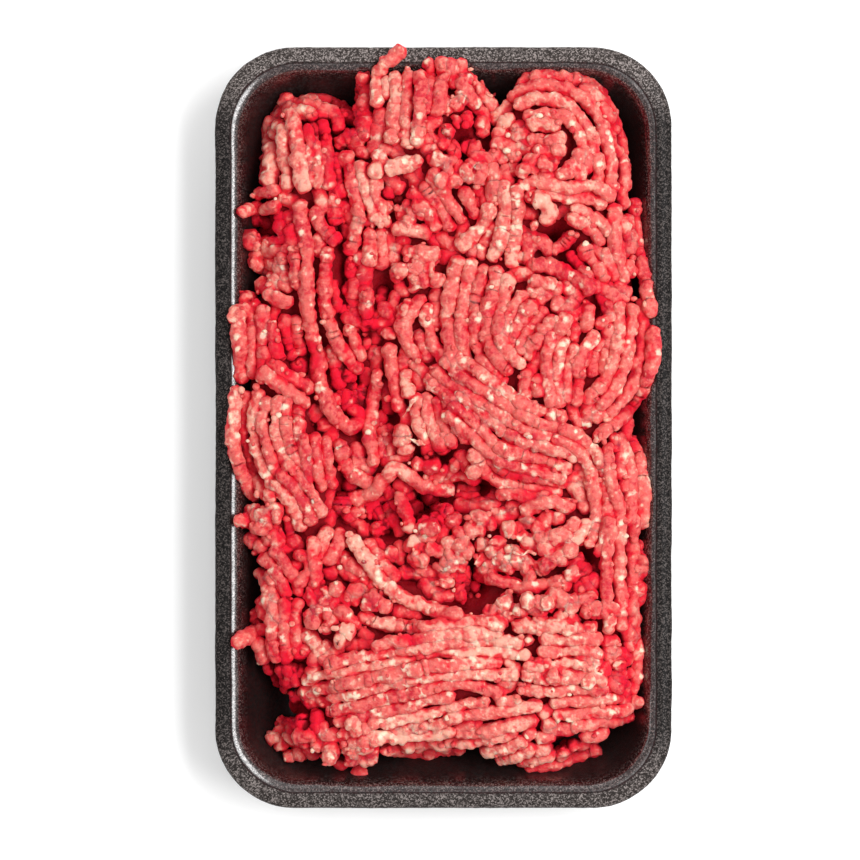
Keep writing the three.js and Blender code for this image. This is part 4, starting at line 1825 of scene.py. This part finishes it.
    @staticmethod
    def hollow_depth(plan: np.ndarray) -> np.ndarray:
        """Finds how deep the hollows are.

        Args:
            plan: Places in plan.

        Returns:
            The depth at each.
        """
        depth = np.zeros(len(plan))
        for hollow in HOLLOWS:
            away = (plan - hollow.middle) / hollow.reach
            depth = np.maximum(depth, hollow.depth * np.exp(-(away**2).sum(1)))
        return depth

    def _ground(self, low: np.ndarray, high: np.ndarray) -> HeightMap:
        """Measures what the first strands lie on.

        Args:
            low: The lowest corner of the plan.
            high: Its highest corner.

        Returns:
            The map, at the fine step of the height map.
        """
        coarse = survey([self.core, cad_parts["tray"]], low, high, self.CORE_CELL)
        rows, columns = (np.ceil((high - low)[::-1] / self.cell)).astype(int) + 1
        grid = np.stack(np.meshgrid(np.arange(columns), np.arange(rows)), -1)
        plan = low + (grid + 0.5) * self.cell
        return HeightMap(low, self.cell, coarse.at(plan).astype(float))

    def rest(self, plan: np.ndarray, radii: np.ndarray, level: float) -> np.ndarray:
        """Lays a line level with the heap's surface, or over what already reaches it.

        Args:
            plan: The line in plan, one row each.
            radii: The strand's radius at each point.
            level: How far its top lies above the heap's surface.

        Returns:
            The height of its centre at each point.
        """
        contact = self.radius * self.CONTACT
        lowest = self.floor.around(plan, contact) + radii * self.PRESSED
        sag = self.hollow_depth(plan) * (self.sag if level <= 0 else 0.0)
        natural = smoothed(self.surface.at(plan) - sag, self.SLOPE_EASE / self.step) - radii
        natural = np.maximum(natural, lowest) + level
        support = self.ground.around(plan, contact) + radii - self.sink
        height = np.minimum(np.maximum(natural, support), natural + self.climb)
        return np.maximum(smoothed(height, self.STRAND_EASE / self.step), lowest)

    def beads(self, run: np.ndarray) -> tuple[np.ndarray, np.ndarray, np.ndarray]:
        """Divides a strand into the lumps it left the mincer in.

        Args:
            run: The distance of each point from the strand's start.

        Returns:
            For each point, how much thicker or thinner it is, how light its lump is and whether its
            lump is fat, from 0 to 1.
        """
        most = int(run[-1] / self.LUMP_LENGTH[0]) + 3
        cuts = np.cumsum(self.random.uniform(*self.LUMP_LENGTH, most)) - self.LUMP_START
        bead = np.searchsorted(cuts, run)
        count = bead.max() + 1
        girths = 1 + self.random.normal(0, self.LUMP_GIRTH, count)
        tones = self.random.uniform(-1, 1, count)
        fats = self.random.uniform(0, 1, count)
        dips = self.NOTCH_DEPTH * self.random.uniform(0, 1, len(cuts)) ** 2
        away = run[:, None] - cuts[None, :]
        notch = (dips[None, :] * np.exp(-((away / self.NOTCH_WIDTH) ** 2))).max(axis=1)
        girth = smoothed(girths[bead], self.LUMP_EASE / self.step) - notch
        return girth, smoothed(tones[bead], self.TONE_EASE / self.step), fats[bead]

    def blunt(self, run: np.ndarray, radius: float) -> np.ndarray:
        """Rounds a strand's two ends off.

        Args:
            run: The distance of each point from the strand's start.
            radius: The strand's radius.

        Returns:
            The share of its girth that each point keeps.
        """
        from_end = np.clip(np.minimum(run, run[::-1]) / (radius * self.END_LENGTH), 0, 1)
        return np.sqrt(np.clip(1 - (1 - from_end) ** 2, self.END_GIRTH, 1))

    def strand(
        self,
        plan: np.ndarray,
        girth: float = 1.0,
        level: float = 0.0,
        fat: float = 0.1,
        sides: int = 16,
        wander: float = 0.35,
    ) -> Tube:
        """Lays one strand.

        Args:
            plan: Its way in plan, at the heap's step.
            girth: Its thickness, as a share of the usual one.
            level: How far its top lies above the heap's surface.
            fat: How much of it is fat.
            sides: How many sides it is made with.
            wander: How far it strays from its way.

        Returns:
            The strand, which the height map now holds too.
        """
        count = len(plan)
        run = np.arange(count) * self.step
        offset = self.random.uniform(0, self.NOISE_RANGE, 3)
        line = np.column_stack([run, np.zeros(count), np.zeros(count)]) + offset
        stray = Ripple(wander, self.WANDER_SIZE).over(self.lumps, line)
        stray = stray + self.SHIVER.over(self.lumps, line)
        plan = plan + leftward(plan) * stray[:, None]
        bead, tone, lot = self.beads(run)
        swell = bead + self.SWELL.over(self.lumps, line)
        radii = self.radius * girth * swell * self.random.uniform(*self.GIRTHS)
        height = self.rest(plan, radii, level) + self.HEAVE.over(self.lumps, line)
        path = np.column_stack([plan, height])
        radii = radii * self.blunt(run, self.radius * girth)
        self.ground.lay(path, radii)
        pale, rich = self.blush(plan)
        fatty = lot < self.LEAST_FAT + self.FAT_LUMPS * max(fat + rich, 0.0)
        own = self.random.uniform(-1, 1)
        tone = (1 - self.OWN_TONE) * tone + self.OWN_TONE * own + pale
        return Tube(path, radii, sides, tone, smoothed(fatty.astype(float), self.TONE_EASE / self.step))

    def mesh(self, name: str, tubes: list[Tube], finish: bpy.types.Material) -> bpy.types.Object:
        """Joins strands into one piece.

        Args:
            name: The piece's name.
            tubes: The strands.
            finish: Their material.

        Returns:
            The piece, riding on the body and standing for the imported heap.
        """
        skins = [self._skin(tube) for tube in tubes]
        starts = np.cumsum([0] + [len(points) for points, _, _ in skins])
        faces = [
            tube_faces(len(tube.path), tube.sides) + start for tube, start in zip(tubes, starts)
        ]
        cloud, fats, tones = (np.concatenate(parts) for parts in zip(*skins))
        values = {"fat": fats, "tone": tones, "shade": self.shade(cloud)}
        return self.dress(make_piece(name, cloud * MM, np.vstack(faces), values), finish)

    def dress(self, piece: bpy.types.Object, finish: bpy.types.Material) -> bpy.types.Object:
        """Gives a piece of the heap its finish and its place in the pack.

        Args:
            piece: The piece.
            finish: Its material.

        Returns:
            The same piece.
        """
        piece.data.materials.append(finish)
        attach(piece, BODY)
        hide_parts("mince")
        return piece

    def _skin(self, tube: Tube) -> tuple[np.ndarray, np.ndarray, np.ndarray]:
        """Draws a strand's lumpy skin.

        Args:
            tube: The strand.

        Returns:
            The skin's points, the two end points last, and how fatty and how light each is.
        """
        way = headings(tube.path)
        steep = abs(way[0, 2]) >= self.STEEP
        up = np.array([1.0, 0.0, 0.0]) if steep else np.array([0.0, 0.0, 1.0])
        ups = np.zeros_like(way)
        for i, direction in enumerate(way):
            up = up - direction * (up @ direction)
            up = up / (np.linalg.norm(up) + TINY)
            ups[i] = up
        sides = np.cross(way, ups)
        # A quarter of the sides are enough underneath, where the strand rests on others.
        under = max(3, tube.sides // 4)
        over = tube.sides - under
        upper = np.linspace(math.pi, 2 * math.pi, over, endpoint=False)
        angle = np.concatenate([upper, np.linspace(0, math.pi, under, endpoint=False)])[None, :, None]
        spokes = sides[:, None, :] * np.cos(angle) - ups[:, None, :] * np.sin(angle)
        skin = (tube.path[:, None, :] + spokes * tube.radii[:, None, None]).reshape(-1, 3)
        bulge, lot = self.grained(skin, self.SKIN_GRAIN)
        lump = self.KNOBS.over(self.lumps, skin) + self.PIMPLES.over(self.lumps, skin) + bulge
        lump = np.clip(lump * tube.crumble, -self.HIGHEST_LUMP, self.HIGHEST_LUMP)
        skin = skin + spokes.reshape(-1, 3) * lump[:, None]
        ends = [0, -1]
        reach = tube.radii[ends] * self.TIP_REACH
        tips = tube.path[ends] + np.stack([-way[0] * reach[0], way[-1] * reach[1]])
        richness = np.repeat(tube.fat, tube.sides)
        middle, chunk = self.granules(skin + self.FLECK_SHIFT, self.FLECK_SIZE)
        fleck = np.clip(self.FLECK_FADE[0] - self.FLECK_FADE[1] * middle, 0, 1)
        fat = (chunk < self.FLECK_SHARE[0] + self.FLECK_SHARE[1] * richness) * fleck
        tone = np.repeat(tube.tone, tube.sides) * self.TONE_SHARE + (lot - 0.5) * self.GRAIN_TONE
        return (
            np.vstack([skin, tips]),
            np.concatenate([fat, tube.fat[ends]]),
            np.concatenate([tone, tube.tone[ends]]),
        )

    def shade(self, cloud: np.ndarray) -> np.ndarray:
        """Measures how much of the sky the strands around hide from each point, and how deep it lies, for
        the painted shade.

        Args:
            cloud: The points.

        Returns:
            A number for each, from 0 in the open up to 1, higher where sky is hidden and where the point
            lies deep.
        """
        plan, height = cloud[:, :2], cloud[:, 2]
        hidden = np.zeros(len(cloud))
        for turn in np.arange(self.SKY_WAYS) * 2 * math.pi / self.SKY_WAYS:
            way = np.array([math.cos(turn), math.sin(turn)])
            slope = np.zeros(len(cloud))
            for reach in self.SKY_REACHES:
                rise = self.ground.at(plan + way * reach) - height
                slope = np.maximum(slope, rise / reach * min(1, self.NEAR / reach))
            hidden += slope**2 / (1 + slope**2)
        # Points deep under the heap's surface and in the hollows get more painted shade.
        under = self.surface.at(plan) - height - self.SHALLOW
        sunken = np.clip(under / self.DEEP, 0, self.DEEP_SHARE)
        sunken = sunken + self.HOLLOW_SHADE * self.hollow_depth(plan)
        return np.clip(self.SKY_SHARE * hidden / self.SKY_WAYS + sunken, 0, 1)

    def lay_skein(self, skein: Skein) -> list[Tube]:
        """Lays a skein's strands, from its middle outwards.

        Args:
            skein: The skein.

        Returns:
            Its strands.
        """
        middle = curve_through(skein.route, self.step)
        side = leftward(middle)
        share = np.linspace(0, 1, len(middle))
        width = skein.fan[0] + (skein.fan[1] - skein.fan[0]) * share
        places = np.arange(skein.strands) - (skein.strands - 1) / 2
        tubes = []
        for place in sorted(places, key=lambda p: (abs(p), p)):
            plan = middle + side * (place * skein.pitch * width)[:, None]
            cut = self.random.uniform(0, skein.ragged, 2) / self.step
            plan = plan[int(cut[0]) : len(plan) - int(cut[1])]
            fat = skein.fat + self.random.uniform(-0.1, 0.1)
            tube = self.strand(plan, skein.girth, skein.level.value, fat)
            tube.tone = tube.tone + skein.tone
            tubes.append(tube)
        return tubes

    def lay_scatter(self, scatter: Scatter) -> list[Tube]:
        """Lays a patch of chopped pieces.

        Args:
            scatter: The patch.

        Returns:
            Its pieces.
        """
        tubes = []
        for _ in range(scatter.count):
            turn = math.radians(scatter.turn + self.random.normal(0, scatter.spread / 2))
            length = self.random.uniform(*self.CHOP_LENGTH)
            stray = np.array(scatter.reach) * self.random.uniform(-1, 1, 2)
            plan = self.short_way(np.array(scatter.middle) + stray, turn, length / 2)
            girth = self.random.uniform(*self.CHOP_GIRTH)
            fat = scatter.fat + self.random.uniform(*self.CHOP_FAT)
            level = scatter.level.value + self.random.uniform(*self.CHOP_LEVEL)
            tube = self.strand(plan, girth, level, fat, wander=self.CHOP_WANDER)
            tube.crumble = self.CHOP_CRUMBLE
            tubes.append(tube)
        return tubes

    def short_way(self, middle: np.ndarray, turn: float, reach: float) -> np.ndarray:
        """Draws the way of a short strand with a slight bend.

        Args:
            middle: Its middle, in plan.
            turn: Its direction, in radians from +X.
            reach: How far it runs either way.

        Returns:
            Its way in plan, at the heap's step.
        """
        half = np.array([math.cos(turn), math.sin(turn)]) * reach
        bend = np.array([-half[1], half[0]]) * self.random.uniform(-self.BEND, self.BEND)
        return curve_through(np.stack([middle - half, middle + bend, middle + half]), self.step)

    def lay_fill(self) -> list[Tube]:
        """Lays short strands wherever the heap is still too low.

        Returns:
            The strands.
        """
        lines = [curve_through(skein.route, 2.0) for skein in ALL_SKEINS]
        knots = np.vstack(lines)
        ways = np.vstack([np.gradient(line, axis=0) for line in lines])
        rows, columns = np.nonzero(self.surface.heights > self.LOWEST_SPOT)
        spots = self.surface.low + (np.column_stack([columns, rows]) + 0.5) * self.surface.step
        aims = self.surface.at(spots) - self.hollow_depth(spots)
        tubes = []
        for _ in range(self.FILL_COUNT):
            tries = self.random.integers(0, len(spots), self.FILL_TRIES)
            lack = aims[tries] - self.ground.around(spots[tries], self.FILL_REACH)
            best = int(np.argmax(lack))
            if lack[best] < self.gap:
                continue
            spot = spots[tries][best]
            drop = self.surface.at(spot[None])[0] - aims[tries][best]
            way = ways[np.argmin(((knots - spot) ** 2).sum(1))]
            turn = math.atan2(way[1], way[0]) + self.random.normal(0, self.FILL_TURN)
            line = self.short_way(spot, turn, self.random.uniform(*self.FILL_HALF))
            line = line[self.surface.at(line) > self.LOWEST_FILL]
            if len(line) < self.FILL_POINTS:
                continue
            level = -drop - self.random.uniform(*self.FILL_DROP)
            height = smoothed(self.surface.at(line), 4.0) - self.radius + level
            tubes.append(self.short(line, height))
        return tubes

    def short(self, plan: np.ndarray, height: np.ndarray) -> Tube:
        """Puts a short strand at a given height.

        Args:
            plan: Its way in plan, at the heap's step.
            height: The height of its centre at each point.

        Returns:
            The strand, which the height map now holds too.
        """
        run = np.arange(len(plan)) * self.step
        bead, tone, lot = self.beads(run)
        radii = self.radius * bead * self.random.uniform(*self.FILL_GIRTHS)
        radii = radii * self.blunt(run, self.radius)
        path = np.column_stack([plan, height])
        self.ground.lay(path, radii)
        share = smoothed((lot < self.FILL_FAT).astype(float), 1.0)
        return Tube(path, radii, self.FILL_SIDES, tone + self.blush(plan)[0], share)

    def lay_stub(self, place: tuple[float, float], fat: float) -> Tube:
        """Stands a strand's end up so that it faces the viewer.

        Args:
            place: Where, in plan.
            fat: How fatty it is.

        Returns:
            The stub.
        """
        centre = np.array(place, float)
        top = self.ground.around(centre[None], 1.5)[0] + self.STUB_RISE
        lean = self.random.uniform(-self.STUB_LEAN, self.STUB_LEAN, 2)
        drop = np.arange(self.STUB_RINGS)[::-1] * self.step
        path = np.column_stack([centre + lean * drop[:, None], top - drop])
        dome = 1 - (1 - drop / self.STUB_DOME).clip(0, 1) ** 2
        radii = self.radius * self.STUB_GIRTH * np.sqrt(np.clip(dome, self.STUB_TIP, 1))
        self.ground.lay(path - np.column_stack([np.zeros((len(path), 2)), radii]), radii)
        tone = np.full(len(path), self.random.uniform(*self.STUB_TONE))
        return Tube(path, radii, 16, tone, np.full(len(path), fat))

    def crumbs(self, finish: bpy.types.Material) -> bpy.types.Object:
        """Scatters small crumbs over the strands.

        Args:
            finish: Their material.

        Returns:
            The crumbs, as one piece.
        """
        count = self.CRUMB_COUNT
        ball = bmesh.new()
        bmesh.ops.create_icosphere(ball, subdivisions=2, radius=1.0)
        shape = np.array([v.co for v in ball.verts])
        sides = np.array([[v.index for v in face.verts] for face in ball.faces])
        ball.free()
        rows, columns = np.nonzero(self.surface.heights > self.LOWEST_CRUMB)
        chosen = self.random.integers(0, len(rows), count)
        plan = np.column_stack([columns[chosen], rows[chosen]]) + self.random.uniform(0, 1, (count, 2))
        plan = self.surface.low + plan * self.surface.step
        size = self.random.uniform(*self.CRUMB_SIZE, count)
        top = self.ground.around(plan, 0.3) + size * self.random.uniform(*self.CRUMB_SINK, count)
        middles = np.column_stack([plan, top])
        stretch = self.random.uniform(*self.CRUMB_STRETCH, (count, 1, 3)) * size[:, None, None]
        points = (middles[:, None, :] + shape[None] * stretch).reshape(-1, 3)
        outward = np.broadcast_to(shape[None], (count, *shape.shape)).reshape(-1, 3)
        points += outward * self.CRUMB_LUMPS.over(self.lumps, points)[:, None]
        faces = (sides[None] + np.arange(count)[:, None, None] * len(shape)).reshape(-1, 3)
        tone = self.random.uniform(-1, 1, count)
        fat = (self.random.uniform(0, 1, count) < self.CRUMB_FAT[0]) * self.CRUMB_FAT[1]
        values = {name: np.repeat(each, len(shape)) for name, each in (("tone", tone), ("fat", fat))}
        values["shade"] = self.shade(points)
        return self.dress(make_piece("crumbs", points * MM, faces, values), finish)

    def lay_thread(self, route: Route) -> Tube:
        """Lays a loose thread of fat over the strands.

        Args:
            route: The way it runs.

        Returns:
            The thread.
        """
        plan = curve_through(route, self.step)
        line = np.column_stack([plan, plan[:, 0]])
        radii = self.THREAD_RADIUS * (1 + self.THREAD_SWELL.over(self.lumps, line))
        top = self.ground.around(plan, 0.6) + radii * self.THREAD_LIFT
        path = np.column_stack([plan, smoothed(top, 1.5)])
        return Tube(path, radii, self.THREAD_SIDES, np.ones(len(plan)), np.ones(len(plan)))

    def build(self, finish: bpy.types.Material) -> list[bpy.types.Object]:
        """Lays the whole heap.

        Args:
            finish: The mince's material.

        Returns:
            Its pieces.
        """
        laid = {}
        chopped = [tube for scatter in SCATTERS for tube in self.lay_scatter(scatter)]
        for name, skeins in SKEIN_GROUPS.items():
            laid[name] = [tube for skein in skeins for tube in self.lay_skein(skein)]
        laid["chopped_bits"] = chopped + [self.lay_stub(place, fat) for place, fat in STUBS]
        laid["short_strands"] = self.lay_fill()
        laid["fat_threads"] = [self.lay_thread(route) for route in THREADS]
        core_points = np.array([v.co for v in self.core.data.vertices]) / MM
        # The core lies deep under the strands, so it gets extra painted shade.
        shade = np.clip(self.shade(core_points) + self.CORE_SHADE, 0, 1)
        attribute = self.core.data.attributes.new("shade", "FLOAT", "POINT")
        attribute.data.foreach_set("value", shade.astype(np.float32))
        pieces = [self.dress(self.core, finish)]
        pieces += [self.mesh(name, tubes, finish) for name, tubes in laid.items()]
        pieces.append(self.crumbs(finish))
        return pieces


# --- The studio ---------------------------------------------------------------------------------


@dataclass
class Studio:
    """Floor, lights and camera, in metres.

    Attributes:
        camera_height: The camera's height over the floor.
        view_width: How wide a strip the camera sees at the rim's height.
        aim: Where the camera looks, in plan.
        sky: The brightness of the light from all around.
    """

    camera_height: float = 1.2
    view_width: float = 0.2539
    aim: tuple[float, float] = (-0.004, -0.0007)
    sky: float = 0.50

    def build(self) -> None:
        """Sets the whole studio up."""
        self._floor()
        self._sky()
        self._lamp("key_softbox", (0.48, 0.07, 0.82), (0.9, 0.4), 10.2)
        self._lamp("far_card", (0.1, 1.3, 0.8), (1.8, 1.0), 4.0)
        self._lamp("top_softbox", (-0.3, 0.0, 1.6), (1.2, 0.9), 6.0)
        self._lamp("left_card", (-0.8, 0.0, 0.40), (0.5, 0.12), 0.5)
        self._camera()
        bpy.context.scene.view_settings.view_transform = "Standard"

    def _floor(self) -> None:
        """Lays the plain pale floor."""
        half, drop = 3.0, -0.1 * MM
        ways = ((-1, -1), (1, -1), (1, 1), (-1, 1))
        corners = np.array([(half * x, half * y, drop) for x, y in ways])
        floor = make_piece("floor", corners, np.array([[0, 1, 2, 3]]))
        bench = Bench("pale_floor")
        tint = bench.blend(colour(0.93, 0.93, 0.93), colour(0.96, 0.96, 0.96), bench.noise(0.4))
        glow = {"Emission Color": colour(1.0, 1.0, 1.0), "Emission Strength": 0.1}
        floor.data.materials.append(bench.finish({"Base Color": tint, "Roughness": 0.9, **glow}))

    def _sky(self) -> None:
        """Lights the pack evenly from all around."""
        world = bpy.data.worlds.new("soft_surround")
        world.use_nodes = True
        background = world.node_tree.nodes["Background"]
        background.inputs["Color"].default_value = colour(1.0, 1.0, 1.0)
        background.inputs["Strength"].default_value = self.sky
        bpy.context.scene.world = world

    def _lamp(
        self,
        name: str,
        place: tuple[float, float, float],
        size: tuple[float, float],
        power: float,
    ) -> None:
        """Hangs a softbox that faces the pack.

        Args:
            name: Its name.
            place: Where it hangs.
            size: Its two sides.
            power: Its power, in watts.
        """
        data = bpy.data.lights.new(name, "AREA")
        data.shape = "RECTANGLE"
        data.size, data.size_y = size
        data.energy = power
        lamp = bpy.data.objects.new(name, data)
        lamp.location = place
        lamp.rotation_euler = (-Vector(place)).to_track_quat("-Z", "Y").to_euler()
        bpy.context.scene.collection.objects.link(lamp)

    def _camera(self) -> None:
        """Hangs the camera straight above, looking down."""
        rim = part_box("tray")[1].z
        data = bpy.data.cameras.new("camera")
        data.sensor_width = 36.0
        data.lens = data.sensor_width * (self.camera_height - rim) / self.view_width
        camera = bpy.data.objects.new("camera", data)
        camera.location = (*self.aim, self.camera_height)
        bpy.context.scene.collection.objects.link(camera)
        bpy.context.scene.camera = camera


def main() -> None:
    """Builds the pack and its studio."""
    logging.basicConfig(level=logging.INFO, format="%(message)s")
    tray = FoamTray().build(FoamFinish().material("speckled_foam"))
    pieces = [tray, *MinceHeap().build(MinceFinish().material("raw_mince"))]
    for piece in pieces:
        log.info("%s: %d faces", piece.name, len(piece.data.polygons))
    Studio().build()


if __name__ == "__main__":
    main()
